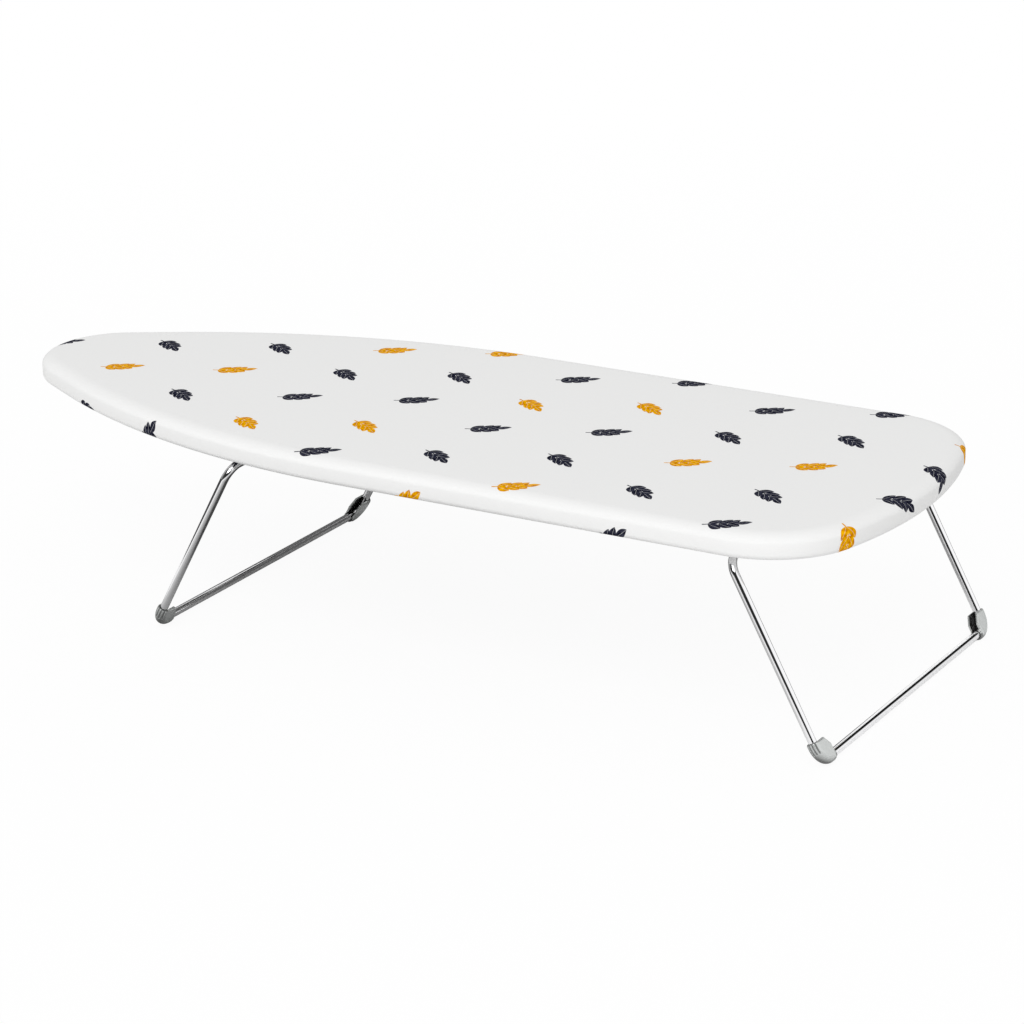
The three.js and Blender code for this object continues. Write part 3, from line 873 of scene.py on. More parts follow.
def gathers():
    """For each sample of the plan, how far the hem's cloth stands off its even level."""
    run = np.concatenate([[0], np.cumsum(edge_steps)[:-1]])
    tightness = plan_tightness()
    length = GATHER_LENGTH_GENTLE + (GATHER_LENGTH_TIGHT - GATHER_LENGTH_GENTLE) * tightness
    turns = np.cumsum(edge_steps / length)
    turns *= round(float(turns[-1])) / turns[-1]
    wave = 0.5 + 0.5 * np.cos(2 * np.pi * turns + LENGTH_WANDER * wander(run, LENGTH_SEED))
    height = GATHER_LEAST_SHARE + (1 - GATHER_LEAST_SHARE) * np.sqrt(tightness)
    height *= 1 + HEIGHT_WANDER * wander(run, HEIGHT_SEED)
    for pivot in pivots.values():
        away = np.abs(edge_line[:, 0] - pivot.x) / PIVOT_ROOM
        height *= np.clip(away, PIVOT_LEAST_SHARE, 1) ** 2
    return GATHER_HEIGHT * height * wave


hem_gathers = gathers()
print("gathers up to", round(float(hem_gathers.max()) * 1000, 2), "mm")

# %% [markdown]
# Pieces are built as points and faces in metres, in the frame's own place. These helpers turn
# them into a smooth-shaded object that rides on its body and stands for its solid, and join
# rings of equal count with quads. Blender's own primitives would have to be edited after they
# are made; points that are worked out land in place at once.


# %% Pieces
def mesh_object(name, shape):
    """A bare object from points and faces."""
    points, faces = shape
    mesh = bpy.data.meshes.new(name)
    mesh.from_pydata([tuple(p) for p in points], [], [tuple(f) for f in faces])
    made = bpy.data.objects.new(name, mesh)
    scene.collection.objects.link(made)
    return made


def add_piece(name, shape, material, body, nodes, crisp_above=None):
    """A smooth piece that rides on a body and stands for the named solids, crisp where its
    edges turn by more than a number of degrees."""
    piece = mesh_object(name, shape)
    mesh = piece.data
    mesh.shade_smooth()
    if crisp_above is not None:
        mesh.set_sharp_from_angle(angle=math.radians(crisp_above))
    mesh.materials.append(material)
    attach(piece, body)
    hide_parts(*nodes)
    print(name, len(mesh.polygons), "faces")
    return piece


def store(piece, name, values):
    """Keeps a vector or a number at each of the piece's points, for its material."""
    values = np.array(values, np.float32)
    kind, field = ("FLOAT_VECTOR", "vector") if values.ndim == 2 else ("FLOAT", "value")
    kept = piece.data.attributes.new(name, kind, "POINT")
    kept.data.foreach_set(field, values.ravel())


# %% Rings of quads
def ring_faces(rings, count, closed=False):
    """Quads between rings of equal count, each ring closed on itself."""
    faces = []
    for ring in range(rings if closed else rings - 1):
        low, high = ring * count, (ring + 1) % rings * count
        for i in range(count):
            j = (i + 1) % count
            faces.append((low + i, low + j, high + j, high + i))
    return faces


def flipped(faces, base=0):
    """Faces turned to look the other way, with their points counted on from a base."""
    return [tuple(base + i for i in reversed(face)) for face in faces]


# %% [markdown]
# The top of the cover is flat but not a simple shape. One face with hundreds of corners would
# shade badly, so it is filled with triangles over an even grid of points. Blender's Delaunay
# triangulation does that, and keeps the outline's own points.

# %% Flat fill of an outline
TRIANGLES_INSIDE_OUTLINE = 1
MERGE_DISTANCE = 1e-7
NO_POINTS = np.zeros((0, 2))


def filled_plan(outline, inner_points=NO_POINTS):
    """Flat triangles over an outline, with extra points inside it. The outline's points come first."""
    count = len(outline)
    points = [Vector(p) for p in np.vstack([outline, inner_points])]
    edges = [(i, (i + 1) % count) for i in range(count)]
    found, _, faces, origins, _, _ = delaunay_2d_cdt(
        points, edges, [], TRIANGLES_INSIDE_OUTLINE, MERGE_DISTANCE,
    )
    order = [origin[0] for origin in origins]
    assert len(found) == len(points)
    return [tuple(order[i] for i in face) for face in faces]


# %% Grid inside the plan
WELL_INSIDE = 1e-9


def half_width(inset, x):
    """Half the plan's width at an inset, at places along the board."""
    line = plan_line(inset)[: len(plan) // 2 + 1]
    return np.interp(x, line[::-1, 0], line[::-1, 1])


def inside_convex(point, line):
    """Whether a point lies well inside a convex anticlockwise line."""
    run = np.roll(line, -1, axis=0) - line
    off = np.array(point) - line
    return bool((run[:, 0] * off[:, 1] - run[:, 1] * off[:, 0] > WELL_INSIDE).all())


def grid_inside(inset, spacing):
    """Points of an even grid that lie inside the plan at an inset."""
    found = []
    for x in np.arange(board_low.x + inset, board_high.x - inset, spacing):
        half = float(half_width(inset, x))
        rows = max(1, int(half / spacing))
        found += [(x, half * i / rows) for i in range(-rows, rows + 1)]
    line = plan_line(inset)
    return np.array([point for point in found if inside_convex(point, line)])


print("the board is", round(float(half_width(0, 0)) * 2000, 1), "mm wide in its middle")

# %% [markdown]
# The skin of the cover is the section's rings, moved up or down by the gathers and joined with
# quads, with the flat fill on top. Each point also keeps the place that it had on the flat cut,
# where the print is read. Cloth this thin could stay a bare skin, but its hem is seen from
# below, so a modifier gives it thickness on the inner side.

# %% Cotton cover
TOP_GRID = 0.014


def cover_points():
    """Rings of the cover in place, and the same points on the flat cut."""
    placed, flat = [], []
    for (inset, z, share), run in zip(section, section_run):
        placed.append(np.column_stack([plan_line(inset), z + share * hem_gathers]))
        flat.append(np.column_stack([plan_line(EDGE_SOFT_WIDTH - run), np.zeros(len(plan))]))
    return np.vstack(placed), np.vstack(flat)


def make_cover():
    placed, flat = cover_points()
    count = len(plan)
    inner = grid_inside(EDGE_SOFT_WIDTH + GENTLE_SPACING, TOP_GRID)
    top = filled_plan(plan_line(EDGE_SOFT_WIDTH), inner)
    # the top's inner points come after all the rings
    shift = len(placed) - count
    faces = flipped(ring_faces(len(section), count))
    faces += [tuple(i if i < count else i + shift for i in face) for face in top]
    points = np.vstack([placed, np.column_stack([inner, np.full(len(inner), top_z)])])
    piece = add_piece("cotton_cover", (points, faces), cotton, "board", ["cover"])
    store(piece, "flat_cut", np.vstack([flat, np.column_stack([inner, np.zeros(len(inner))])]))
    solidify = piece.modifiers.new("cloth", "SOLIDIFY")
    solidify.thickness = CLOTH_THICKNESS
    solidify.offset = -1
    return piece


cover = make_cover()

# %% [markdown]
# The hem's casing is closed by a row of stitches. A painted dashed line would do from afar,
# but the underside is looked at closely, so each stitch is a short thread with thinner ends
# that rides on the gathered cloth.


# %% Rings with caps
def capped(rings):
    """Points and faces of a row of rings with flat ends."""
    count = len(rings[0])
    faces = ring_faces(len(rings), count)
    last = (len(rings) - 1) * count
    faces.append(tuple(reversed(range(count))))
    faces.append(tuple(last + i for i in range(count)))
    return [p for ring in rings for p in ring], faces


def joined(parts):
    """Several sets of points and faces as one."""
    points, faces = [], []
    for part_points, part_faces in parts:
        base = len(points)
        points += part_points
        faces += [tuple(base + i for i in face) for face in part_faces]
    return points, faces


def round_section(radius, sides):
    """Points of a circle, anticlockwise."""
    turns = [2 * math.pi * k / sides for k in range(sides)]
    return [(radius * math.cos(a), radius * math.sin(a)) for a in turns]


# %% Hem stitches
STITCH_PITCH = 0.0036
STITCH_LENGTH = 0.0027
STITCH_RADIUS = 0.00024
STITCH_SIDES = 6
STITCH_RINGS = 5
STITCH_BLUNT = 0.08
UP = np.array([0, 0, 1])


def stitch(spine):
    """Points and faces of one stitch along its spine."""
    heading = spine[-1] - spine[0]
    side = np.array([-heading[1], heading[0], 0]) / np.linalg.norm(heading[:2])
    rings = []
    for share, centre in zip(np.linspace(-1, 1, STITCH_RINGS), spine):
        reach = STITCH_RADIUS * math.sqrt(max(STITCH_BLUNT, 1 - share**2))
        rings.append([centre + side * a + UP * b for a, b in round_section(reach, STITCH_SIDES)])
    return capped(rings)


def make_stitches():
    level = casing_low - hem_gathers - STITCH_RADIUS / 2
    seam = np.column_stack([plan_line(STITCH_INSET), level])
    seam = np.vstack([seam, seam[:1]])
    steps = np.linalg.norm(np.diff(seam[:, :2], axis=0), axis=1)
    run = np.concatenate([[0], np.cumsum(steps)])
    count = int(run[-1] / STITCH_PITCH)
    parts = []
    for start in np.arange(count) * run[-1] / count:
        at = start + np.linspace(0, STITCH_LENGTH, STITCH_RINGS)
        spine = [np.interp(at, run, seam[:, axis], period=run[-1]) for axis in range(3)]
        parts.append(stitch(np.column_stack(spine)))
    print(count, "stitches")
    return add_piece("hem_stitches", joined(parts), thread, "board", [])


stitches = make_stitches()

# %% [markdown]
# Inside the casing runs the elastic, a flat band. It hardly shows, so it is a plain band with
# the section of its solid, carried round the plan, smooth where the solid has facets.

# %% Hem elastic
ELASTIC_OUTER_INSET = 0.0240
ELASTIC_INNER_INSET = 0.0290


def plan_rings(rows):
    """Level rings round the plan, from rows of inset and height."""
    return np.vstack([np.column_stack([plan_line(i), np.full(len(plan), z)]) for i, z in rows])


def closed_band(name, corners, material, nodes, crisp_above=None):
    """A ring of constant section round the plan, from its corners as inset and height."""
    shape = (plan_rings(corners), ring_faces(len(corners), len(plan), closed=True))
    add_piece(name, shape, material, "board", nodes, crisp_above)


elastic_low, elastic_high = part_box("hem_elastic")
elastic_corners = [
    (ELASTIC_OUTER_INSET, elastic_high.z),
    (ELASTIC_INNER_INSET, elastic_high.z),
    (ELASTIC_INNER_INSET, elastic_low.z),
    (ELASTIC_OUTER_INSET, elastic_low.z),
]
closed_band("elastic_band", elastic_corners, elastic, ["hem_elastic"], crisp_above=40)

# %% [markdown]
# The foam fills the cover down to the deck. From above only its soft edge matters, through
# the cotton; from below its grey cells show through the deck. A shrunken copy of the cover
# would bring the hem along, so the pad has a section of its own that follows the inside of
# the cover, and flat triangles close it above and below.

# %% Foam pad
FOAM_FROM_COTTON = 0.0002
FOAM_EDGE_STEPS = 6


def make_foam():
    inset = CLOTH_THICKNESS + FOAM_FROM_COTTON
    top = top_z - inset
    soft = (EDGE_SOFT_WIDTH - inset, EDGE_SOFT_DROP - inset)
    rows = [(EDGE_SOFT_WIDTH, top)]
    rows += arc_points((EDGE_SOFT_WIDTH, top - soft[1]), soft, 90, 0, FOAM_EDGE_STEPS)
    rows.append((inset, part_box("foam_pad")[0].z))
    faces = flipped(ring_faces(len(rows), len(plan)))
    faces += filled_plan(plan_line(EDGE_SOFT_WIDTH))
    faces += flipped(filled_plan(plan_line(inset)), base=(len(rows) - 1) * len(plan))
    shape = (plan_rings(rows), faces)
    return add_piece("foam_layer", shape, foam, "board", ["foam_pad"], crisp_above=50)


pad = make_foam()

# %% [markdown]
# The deck is expanded steel: a sheet slit in rows and pulled open into diamonds, so steam goes
# through. A texture with holes would do in a picture, but the mesh is kept too, so each
# opening is cut. Diamonds with blunt corners are laid in staggered rows inside a plain border.
# The sheet is filled with triangles, those that fall in an opening are left out, and the rest
# is given its thickness.

# %% Openings of the deck
DECK_INSET = 0.0053
DECK_BORDER = 0.0055
OPENING_PITCH_X = 0.0240
OPENING_PITCH_Y = 0.0130
OPENING_LENGTH = 0.0190
OPENING_WIDTH = 0.0092
OPENING_BLUNT = 0.12


def opening(x, y):
    """A diamond with its four corners cut blunt, anticlockwise."""
    corners = [(1, 0), (0, 1), (-1, 0), (0, -1)]
    points = []
    for k, (a, b) in enumerate(corners):
        for other in (corners[k - 1], corners[(k + 1) % 4]):
            px = a + (other[0] - a) * OPENING_BLUNT
            py = b + (other[1] - b) * OPENING_BLUNT
            points.append((x + px * OPENING_LENGTH / 2, y + py * OPENING_WIDTH / 2))
    return points


def deck_openings():
    field = plan_line(DECK_INSET + DECK_BORDER)
    columns = round((board_high.x - board_low.x) / OPENING_PITCH_X)
    rows = round((board_high.y - board_low.y) / OPENING_PITCH_Y)
    found = []
    for row in range(-rows, rows + 1):
        for column in range(-columns, columns + 1):
            x = (column + row % 2 / 2) * OPENING_PITCH_X
            shape = opening(x, row * OPENING_PITCH_Y / 2)
            if all(inside_convex(p, field) for p in shape):
                found.append(shape)
    return found


openings = deck_openings()
print(len(openings), "openings")

# %% Steel deck
DECK_EDGE_EVERY = 2


def pierced_sheet(outline, openings):
    """Flat triangles over an outline, and none whose three corners all belong to one opening."""
    points, edges, loop_of = [], [], []
    for number, loop in enumerate([outline] + openings):
        start = len(points)
        points += [Vector(p) for p in loop]
        edges += [(start + i, start + (i + 1) % len(loop)) for i in range(len(loop))]
        loop_of += [number] * len(loop)
    found, _, faces, origins, _, _ = delaunay_2d_cdt(
        points, edges, [], TRIANGLES_INSIDE_OUTLINE, MERGE_DISTANCE,
    )
    home = [loop_of[origin[0]] for origin in origins]
    kept = [tuple(f) for f in faces if home[f[0]] == 0 or len({home[i] for i in f}) > 1]
    return found, kept


def make_deck():
    low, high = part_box("deck_panel")
    outline = [tuple(p) for p in plan_line(DECK_INSET)[::DECK_EDGE_EVERY]]
    found, flat = pierced_sheet(outline, openings)
    count = len(found)
    sides = {pair for face in flat for pair in zip(face, face[1:] + face[:1])}
    free_sides = sorted((a, b) for a, b in sides if (b, a) not in sides)
    points = [(p.x, p.y, z) for z in (high.z, low.z) for p in found]
    faces = flat + flipped(flat, base=count)
    faces += [(b, a, a + count, b + count) for a, b in free_sides]
    add_piece("expanded_deck", (points, faces), zinc, "board", ["deck_panel"], crisp_above=35)


make_deck()

# %% [markdown]
# A steel tube runs round the edge under the deck, and keeps it stiff. A curve with a round
# bevel could give it, but would need points of its own. So a circle is carried round the
# plan's samples, like the elastic, with enough sides to look round.

# %% Rim tube
RIM_RADIUS = 0.004
RIM_SIDES = 20
rim_low, rim_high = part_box("rim_tube")
rim_middle = (rim_low.z + rim_high.z) / 2
rim_corners = [(DECK_INSET - a, rim_middle + b) for a, b in round_section(RIM_RADIUS, RIM_SIDES)]
closed_band("rim_hoop", rim_corners, zinc, ["rim_tube"])

# %% [markdown]
# Two pressed channels cross the board over the leg pivots. A channel is sheet bent up along
# both sides. It could be a straight length, cut off at the rim. Here its section is drawn once
# with rounded bends, and each point of it runs across the board as far as the rim lets it, so
# the ends follow the rim's curve without a cut.

# %% Section of a rail
RAIL_WALL = 0.0012
RAIL_BEND = 0.0022
RAIL_BEND_STEPS = 4


def channel_side(left, right, low, high, radius):
    """One face of the channel's wall: down the left, round both bends and up the right."""
    points = [(left, high)]
    for middle, start in ((left + radius, 180), (right - radius, 270)):
        for angle in np.radians(np.linspace(start, start + 90, RAIL_BEND_STEPS + 1)):
            points.append((middle + radius * math.cos(angle), low + radius + radius * math.sin(angle)))
    return points + [(right, high)]


def channel_section(low, high):
    """Round the channel's wall, as X and Z: outside from one top edge to the other, and back inside."""
    wall = RAIL_WALL
    outside = channel_side(low.x, high.x, low.z, high.z, RAIL_BEND)
    inside = channel_side(low.x + wall, high.x - wall, low.z + wall, high.z, RAIL_BEND - wall)
    return outside + inside[::-1]


# %% Cross rails
LEGS = ("nose", "tail")
RAIL_FROM_RIM = 0.0003
RAIL_STATIONS = 9


def make_rail(leg):
    node = f"{leg}_cross_rail"
    shape = channel_section(*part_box(node))
    inset = DECK_INSET + RIM_RADIUS + RAIL_FROM_RIM
    rings = []
    for share in np.linspace(1, -1, RAIL_STATIONS):
        rings.append([(x, share * float(half_width(inset, x)), z) for x, z in shape])
    add_piece(f"{leg}_channel", capped(rings), zinc, "board", [node], crisp_above=40)


for leg in LEGS:
    make_rail(leg)

# %% [markdown]
# Straps and rods are sections carried along a bent line. Blender's curves can do that, but the
# legs need true arcs at their corners and a coordinate along the rod for its finish. So a
# small sweep is written out, which turns a section's rings along the line without twist.


# %% Sweep
def swept(path, section_at, across):
    """Rings of a section along a path, from section points across and up, without twist."""
    rings = []
    across = Vector(across)
    heading = path[0][1]
    for index, (place, along) in enumerate(path):
        across = heading.rotation_difference(along) @ across
        heading = along
        up = along.cross(across)
        rings.append([place + across * a + up * b for a, b in section_at(index)])
    return rings


# %% [markdown]
# Each turned-in leg end lies in a strap bent from thick sheet: two flanges riveted to the rail
# and a half-round saddle under the rod. A flat blank could be bent by a modifier. Carrying its
# section along the strap's own line keeps the bends where the rod is, and narrowing it at both
# ends gives the flanges round corners. The rivets are turned profiles with a domed head.

# %% Line of a strap
STRAP_THICKNESS = 0.0015
STRAP_BORE = 0.00355
STRAP_KNEE_RADIUS = 0.0016
FLANGE_STEPS = 8
KNEE_STEPS = 6
SADDLE_STEPS = 9


def strap_path(pivot, low, high):
    """Places and headings along the strap's middle line, from one flange round the saddle to the other."""
    y = (low.y + high.y) / 2
    reach = STRAP_BORE + STRAP_THICKNESS / 2
    flange = high.z - STRAP_THICKNESS / 2
    knee = STRAP_KNEE_RADIUS
    bend_x = pivot.x - reach - knee
    path = []
    for share in np.linspace(0, 1, FLANGE_STEPS + 1):
        path.append((low.x + (bend_x - low.x) * share, flange))
    for angle in np.radians(np.linspace(90, 0, KNEE_STEPS + 1))[1:]:
        path.append((bend_x + knee * math.cos(angle), flange - knee + knee * math.sin(angle)))
    for angle in np.radians(np.linspace(180, 270, SADDLE_STEPS + 1)):
        path.append((pivot.x + reach * math.cos(angle), pivot.z + reach * math.sin(angle)))
    mirrored = [(2 * pivot.x - x, z) for x, z in path[-2::-1]]
    places = [Vector((x, y, z)) for x, z in path + mirrored]
    neighbours = zip(places[:1] + places, places[1:] + places[-1:])
    headings = [(after - before).normalized() for before, after in neighbours]
    return list(zip(places, headings))


# %% Strap
STRAP_END_RADIUS = 0.005
STRAP_EDGE_RADIUS = 0.0003


def rounded_rectangle(half_across, half_up, radius, steps=3):
    """A rectangle with round corners, as points across and up."""
    points = []
    for sign_a, sign_b, start in ((1, 1, 0), (-1, 1, 90), (-1, -1, 180), (1, -1, 270)):
        for angle in np.radians(np.linspace(start, start + 90, steps + 1)):
            a = sign_a * (half_across - radius) + radius * math.cos(angle)
            b = sign_b * (half_up - radius) + radius * math.sin(angle)
            points.append((a, b))
    return points


def make_strap(leg, hand):
    node = f"{leg}_{hand}_bracket"
    low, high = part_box(node)
    path = strap_path(pivots[f"{leg}_leg"], low, high)
    half = (high.y - low.y) / 2

    def section_at(index):
        x = path[index][0].x
        from_end = min(x - low.x, high.x - x)
        short = max(0.0, STRAP_END_RADIUS - from_end)
        narrowed = STRAP_END_RADIUS - math.sqrt(max(0.0, STRAP_END_RADIUS**2 - short**2))
        return rounded_rectangle(half - narrowed, STRAP_THICKNESS / 2, STRAP_EDGE_RADIUS)

    shape = capped(swept(path, section_at, (0, 1, 0)))
    add_piece(f"{leg}_{hand}_strap", shape, zinc, "board", [node], crisp_above=50)


# %% Rivets, and both in their places
HANDS = {"left": -1, "right": 1}
RIVET_HEAD_RADIUS = 0.0035
RIVET_SHANK_RADIUS = 0.002
RIVET_DOME = 0.0018
RIVET_DOME_DEGREES = (6, 20, 34, 48, 60, 72, 82)
RIVET_TAIL = 0.0009
RIVET_EDGE = 0.0003
RIVET_SIDES = 28


def rivet_profile(low, high):
    """Radius and height, from the dome under the strap up to the flat head in the rail."""
    seat = low + RIVET_DOME
    profile = []
    for angle in np.radians(RIVET_DOME_DEGREES):
        profile.append((RIVET_HEAD_RADIUS * math.sin(angle), seat - RIVET_DOME * math.cos(angle)))
    profile += [(RIVET_HEAD_RADIUS, seat - RIVET_EDGE), (RIVET_HEAD_RADIUS - RIVET_EDGE, seat)]
    profile += [(RIVET_SHANK_RADIUS, seat), (RIVET_SHANK_RADIUS, high - RIVET_TAIL)]
    profile += [(RIVET_HEAD_RADIUS, high - RIVET_TAIL), (RIVET_HEAD_RADIUS, high - RIVET_EDGE)]
    return profile + [(RIVET_HEAD_RADIUS - RIVET_EDGE, high)]


def make_rivet(leg, hand, row):
    node = f"{leg}_{hand}_{row}_rivet"
    low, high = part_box(node)
    middle = (low + high) / 2
    rings = []
    for radius, z in rivet_profile(low.z, high.z):
        rings.append([(middle.x + a, middle.y + b, z) for a, b in round_section(radius, RIVET_SIDES)])
    add_piece(f"{node}_head", capped(rings), zinc, "board", [node], crisp_above=40)


for leg in LEGS:
    for hand in HANDS:
        make_strap(leg, hand)
        for row in ("front", "rear"):
            make_rivet(leg, hand, row)

# %% [markdown]
# Each leg is one rod: a floor bar, two splayed shanks, turned-in ends that are the pivots, and
# a short arm at each end that comes to rest under the rail when the leg is open. It is one
# circle carried along one bent line. The leg is built upright about its pivot, and its place
# on the board comes from the joint.

# %% Place of a leg
ROD_RADIUS = 0.003
LEG_SPLAY = math.radians(28.3)
LEG_TURN = {"nose": math.pi, "tail": 0}
FOOT_HALF = 0.0046
SOLE_DEPTH = 0.0004
leg_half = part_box("tail_leg_rod")[1].y - ROD_RADIUS
bar_height = FOOT_HALF - SOLE_DEPTH
shank_length = (pivots["tail_leg"].z - bar_height) / math.cos(LEG_SPLAY)


def leg_place(leg):
    """From a leg's own upright frame, with its origin on the pivot, to its place on the board."""
    pivot = Matrix.Translation(pivots[f"{leg}_leg"])
    return pivot @ Matrix.Rotation(LEG_TURN[leg], 4, "Z") @ Matrix.Rotation(-LEG_SPLAY, 4, "Y")


print("shanks", round(shank_length * 1000, 1), "mm long,", round(leg_half * 2000, 1), "mm apart")

# %% Line of a leg
ROD_BEND = 0.0115
STOP_ARM_LENGTH = 0.016
STOP_ARM_FROM_STRAP = 0.001
STOP_ARM_FROM_RAIL = 0.0003


def rod_corners():
    """Corners of the rod's line in the leg's own frame, from one stop arm's end to the other's."""
    strap_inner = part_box("tail_right_bracket")[0].y
    arm_y = strap_inner - STOP_ARM_FROM_STRAP - ROD_BEND
    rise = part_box("tail_cross_rail")[0].z - STOP_ARM_FROM_RAIL - ROD_RADIUS - pivots["tail_leg"].z
    angle = math.asin(rise / STOP_ARM_LENGTH) - LEG_SPLAY
    arm_end = (STOP_ARM_LENGTH * math.cos(angle), -arm_y, STOP_ARM_LENGTH * math.sin(angle))
    side = [arm_end, (0, -arm_y, 0), (0, -leg_half, 0), (0, -leg_half, -shank_length)]
    return side + [(x, -y, z) for x, y, z in reversed(side)]


def rounded_path(corners, radius, steps):
    """Places and headings along straight runs with an arc at each corner."""
    corners = [Vector(c) for c in corners]
    path = [(corners[0], (corners[1] - corners[0]).normalized())]
    for before, corner, after in zip(corners, corners[1:], corners[2:]):
        into, out = (corner - before).normalized(), (after - corner).normalized()
        turn = into.angle(out)
        axis = into.cross(out).normalized()
        start = corner - into * radius * math.tan(turn / 2)
        centre = start + axis.cross(into) * radius
        for k in range(steps + 1):
            spin = Matrix.Rotation(turn * k / steps, 3, axis)
            path.append((centre + spin @ (start - centre), spin @ into))
    path.append((corners[-1], (corners[-1] - corners[-2]).normalized()))
    return path


print(len(rod_corners()), "points on the rod's line before it is bent")

# %% Leg rods
ROD_BEND_STEPS = 12
ROD_SIDES = 32
ROD_END_BEVEL = 0.0006


def make_rod(leg):
    path = rounded_path(rod_corners(), ROD_BEND, ROD_BEND_STEPS)
    (first, out), (last, home) = path[0], path[-1]
    path.insert(1, (first + out * ROD_END_BEVEL, out))
    path.insert(-1, (last - home * ROD_END_BEVEL, home))
    full = round_section(ROD_RADIUS, ROD_SIDES)
    bevelled = round_section(ROD_RADIUS - ROD_END_BEVEL, ROD_SIDES)
    ends = (0, len(path) - 1)
    points, faces = capped(swept(path, lambda index: bevelled if index in ends else full, (0, 1, 0)))
    place = leg_place(leg)
    shape = ([place @ p for p in points], faces)
    body = f"{leg}_leg"
    piece = add_piece(f"{leg}_rod", shape, chrome, body, [f"{leg}_leg_rod"], crisp_above=40)
    steps = [(b[0] - a[0]).length for a, b in zip(path, path[1:])]
    run = np.concatenate([[0], np.cumsum(steps)])
    around = np.arange(ROD_SIDES) * 2 * math.pi * ROD_RADIUS / ROD_SIDES
    store(piece, "rod_run", [(along, turn, 0) for along in run for turn in around])
    print(leg, "rod is", round(float(run[-1]), 3), "m long")


for leg in LEGS:
    make_rod(leg)

# %% [markdown]
# The feet are moulded elbows, pushed over the rod's bottom bends: a rounded back, two flat
# cheeks, an open channel between them, grip grooves on the outside of both ends and a small
# sole. Modelling each rounded edge by hand takes long. Here simple solids are laid over each
# other, one set for the body and one for what is cut out of it.

# %% Forms of a foot
FOOT_ABOVE_BEND = 0.0025
FOOT_BEYOND_BEND = 0.0025
foot_up = ROD_BEND + FOOT_ABOVE_BEND
foot_along = ROD_BEND + FOOT_BEYOND_BEND


def elbow_path(up, along):
    """The rod's line through its bottom corner: X in along the floor bar, Y up the shank."""
    return rounded_path([(0, up, 0), (0, 0, 0), (along, 0, 0)], ROD_BEND, ROD_BEND_STEPS)


def round_bar(path, radius, across=0, out=0):
    """A round bar along a path in the foot's plane, set off across it and outwards."""
    shape = [(a + across, b + out) for a, b in round_section(radius, ROD_SIDES)]
    return capped(swept(path, lambda index: shape, (0, 0, 1)))


def plate(outline, half):
    """A flat plate of an outline in X and Y, centred in Z."""
    return capped([[(x, y, z) for x, y in outline] for z in (-half, half)])


def elbow_form(back, half, up, along, depth, drop):
    """A round elbow and the flat cheeks inside it, with a slanted edge between the cheeks' ends."""
    path = elbow_path(up, along)
    cheeks = [(place.x, place.y) for place, _ in path] + [(along, up - drop), (depth, up)]
    return [round_bar(path, back), plate(cheeks, half)]


print("a foot reaches", round(foot_up * 1000, 1), "mm up and", round(foot_along * 1000, 1), "mm along")

# %% Body of a foot
CHEEK_DEPTH = 0.0087
CHEEK_DROP = 0.0064
EDGE_EASE = 0.0006
COLLAR_HALF = 0.0042
COLLAR_LENGTH = 0.0016


def foot_body():
    """The full form, set back at its free edges, and a thinner one that reaches them: eased edges."""
    ease, thin = EDGE_EASE, FOOT_HALF - EDGE_EASE
    parts = elbow_form(thin, thin, foot_up, foot_along, CHEEK_DEPTH, CHEEK_DROP)
    parts += elbow_form(
        FOOT_HALF, FOOT_HALF, foot_up - ease, foot_along - ease,
        CHEEK_DEPTH - ease / 2, CHEEK_DROP - ease / 2,
    )
    parts.append(round_bar(elbow_path(foot_up, foot_along + COLLAR_LENGTH), COLLAR_HALF))
    return mesh_object("foot_body", joined(parts))


# %% Hollows of a foot
CHANNEL_HALF = 0.00325
LIP_HALF = 0.00275
GROOVE_RADIUS = 0.00065
GROOVE_TURNS = (-47, -15, 15, 47)
SHANK_GROOVE_RINGS = 5
BAR_GROOVE_RINGS = 3
CUT_MARGIN = 0.02


def foot_hollows():
    """The snap channel for the rod, and the grip grooves across the outside of both ends."""
    far = foot_along + CUT_MARGIN
    parts = elbow_form(CHANNEL_HALF, LIP_HALF, foot_up + CUT_MARGIN, far, far, 0)
    path = elbow_path(foot_up + CUT_MARGIN, far)
    for turn in np.radians(GROOVE_TURNS):
        across, out = FOOT_HALF * math.sin(turn), FOOT_HALF * math.cos(turn)
        for stretch in (path[:SHANK_GROOVE_RINGS], path[-BAR_GROOVE_RINGS:]):
            parts.append(round_bar(stretch, GROOVE_RADIUS, across, out))
    return mesh_object("foot_hollows", joined(parts))


# %% [markdown]
# Moulded plastic has no sharp edges. Bevels easily fail where many cuts meet, so the cut foot is
# rebuilt on a fine voxel grid and smoothed a little, which rounds every edge alike. One foot is
# made so, and serves all four corners.

# %% Modifiers
FOOT_VOXEL = 0.00025


def apply_modifiers(target):
    bpy.context.view_layer.update()
    evaluated = target.evaluated_get(bpy.context.evaluated_depsgraph_get())
    shape = bpy.data.meshes.new_from_object(evaluated)
    target.modifiers.clear()
    target.data = shape


def voxel_rebuild(target):
    remesh = target.modifiers.new("rebuild", "REMESH")
    remesh.mode = "VOXEL"
    remesh.voxel_size = FOOT_VOXEL
    apply_modifiers(target)


# %% Moulded foot
SOFTEN_TIMES, SOFTEN_SHARE = 2, 0.5


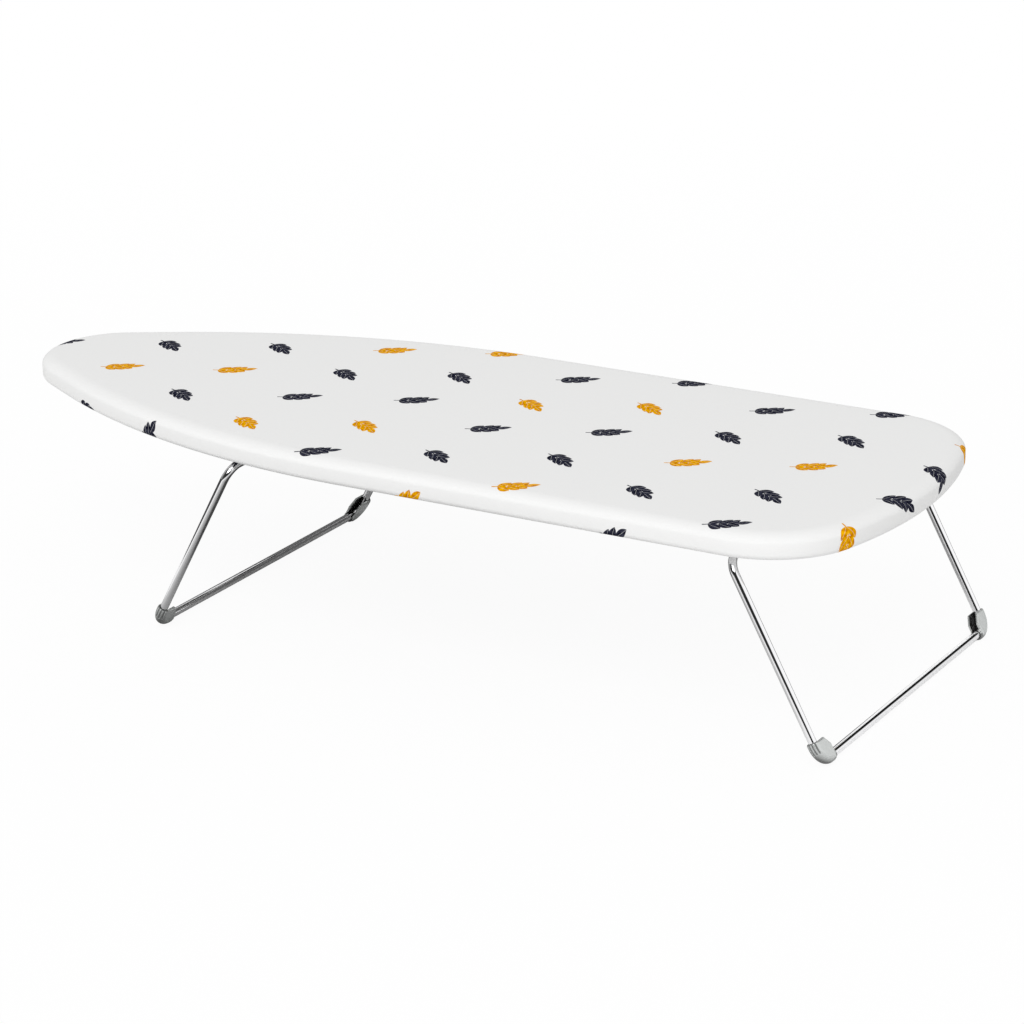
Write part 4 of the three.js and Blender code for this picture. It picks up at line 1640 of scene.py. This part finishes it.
def moulded_foot():
    """Points and faces of one foot, in the frame of its corner."""
    body, hollows = foot_body(), foot_hollows()
    voxel_rebuild(body)
    voxel_rebuild(hollows)
    cut = body.modifiers.new("hollows", "BOOLEAN")
    cut.operation = "DIFFERENCE"
    cut.object = hollows
    apply_modifiers(body)
    voxel_rebuild(body)
    soften = body.modifiers.new("soften", "SMOOTH")
    soften.factor = SOFTEN_SHARE
    soften.iterations = SOFTEN_TIMES
    apply_modifiers(body)
    points = np.array([v.co for v in body.data.vertices])
    faces = [tuple(p.vertices) for p in body.data.polygons]
    for made in (body, hollows):
        bpy.data.objects.remove(made)
    return points, faces


foot_points, foot_faces = moulded_foot()
print("each foot has", len(foot_points), "points")

# %% [markdown]
# The channel and the grooves of a foot get an almost black painted shade, and the undersides a
# darker painted shade too. Whether that is dirt or a dark reflection can't be told from it. So
# the tone is painted on: each point gets a painted shade from where it lies, and from the way it
# faces once the foot is in its place.

# %% Painted shade of a foot
# painted shade: full in the snap channel, a little less in the grip grooves
SHADE_DEPTH = 0.0001
GROOVE_SHADE = 0.75


def foot_painted_shade(points):
    """For each point, the painted shade of the channel and the grooves, and how far out on the back it
    lies.
    """
    path = elbow_path(foot_up, foot_along)
    stops = np.array([place for place, _ in path])
    ways = np.array([(-along.y, along.x, 0) for _, along in path])
    nearest = np.argmin(np.linalg.norm(points[:, None] - stops[None], axis=2), axis=1)
    inward = np.einsum("ij,ij->i", points - stops[nearest], ways[nearest])
    beside = points[:, 2]
    reach = np.hypot(inward, beside)
    slot = (inward > 0) & (np.abs(beside) < LIP_HALF + SHADE_DEPTH)
    channel = slot | (reach < CHANNEL_HALF + SHADE_DEPTH)
    groove = (inward < 0) & (reach < FOOT_HALF - GROOVE_RADIUS / 2)
    return np.maximum(channel, GROOVE_SHADE * groove), np.clip(-inward / FOOT_HALF, 0, 1)


recess_painted_shade, foot_outward = foot_painted_shade(foot_points)
print(np.count_nonzero(recess_painted_shade), "points of a foot lie in its channel or a groove")

# %% Feet
# painted shade under the feet, strongest far out on the back where it faces down
UNDERSIDE_SHADE = 0.9
UNDERSIDE_STARTS, UNDERSIDE_FULL = 0.3, -0.6


def foot_place(leg, hand):
    """From the frame of a foot's corner to its place on the board."""
    mirror = HANDS[hand] if leg == "tail" else -HANDS[hand]
    inward, upward = Vector((0, -mirror, 0)), Vector((0, 0, 1))
    axes = Matrix((inward, upward, inward.cross(upward))).transposed().to_4x4()
    return leg_place(leg) @ Matrix.Translation((0, mirror * leg_half, -shank_length)) @ axes


def make_foot(leg, hand):
    place = foot_place(leg, hand)
    placed = [place @ Vector(p) for p in foot_points]
    # what would reach below the floor is pressed flat, which makes the sole
    for p in placed:
        p.z = max(p.z, 0)
    shape, node = (placed, foot_faces), f"{leg}_{hand}_foot"
    foot = add_piece(f"{leg}_{hand}_elbow", shape, plastic, f"{leg}_leg", [node])
    # painted shade: darker where a point faces down and lies far out on the back
    slopes = [normal.vector.z for normal in foot.data.vertex_normals]
    underneath = np.interp(slopes, [UNDERSIDE_FULL, UNDERSIDE_STARTS], [1, 0])
    painted = UNDERSIDE_SHADE * np.sqrt(foot_outward) * underneath
    store(foot, "foot_painted_shade", np.maximum(recess_painted_shade, painted))


for leg in LEGS:
    for hand in HANDS:
        make_foot(leg, hand)
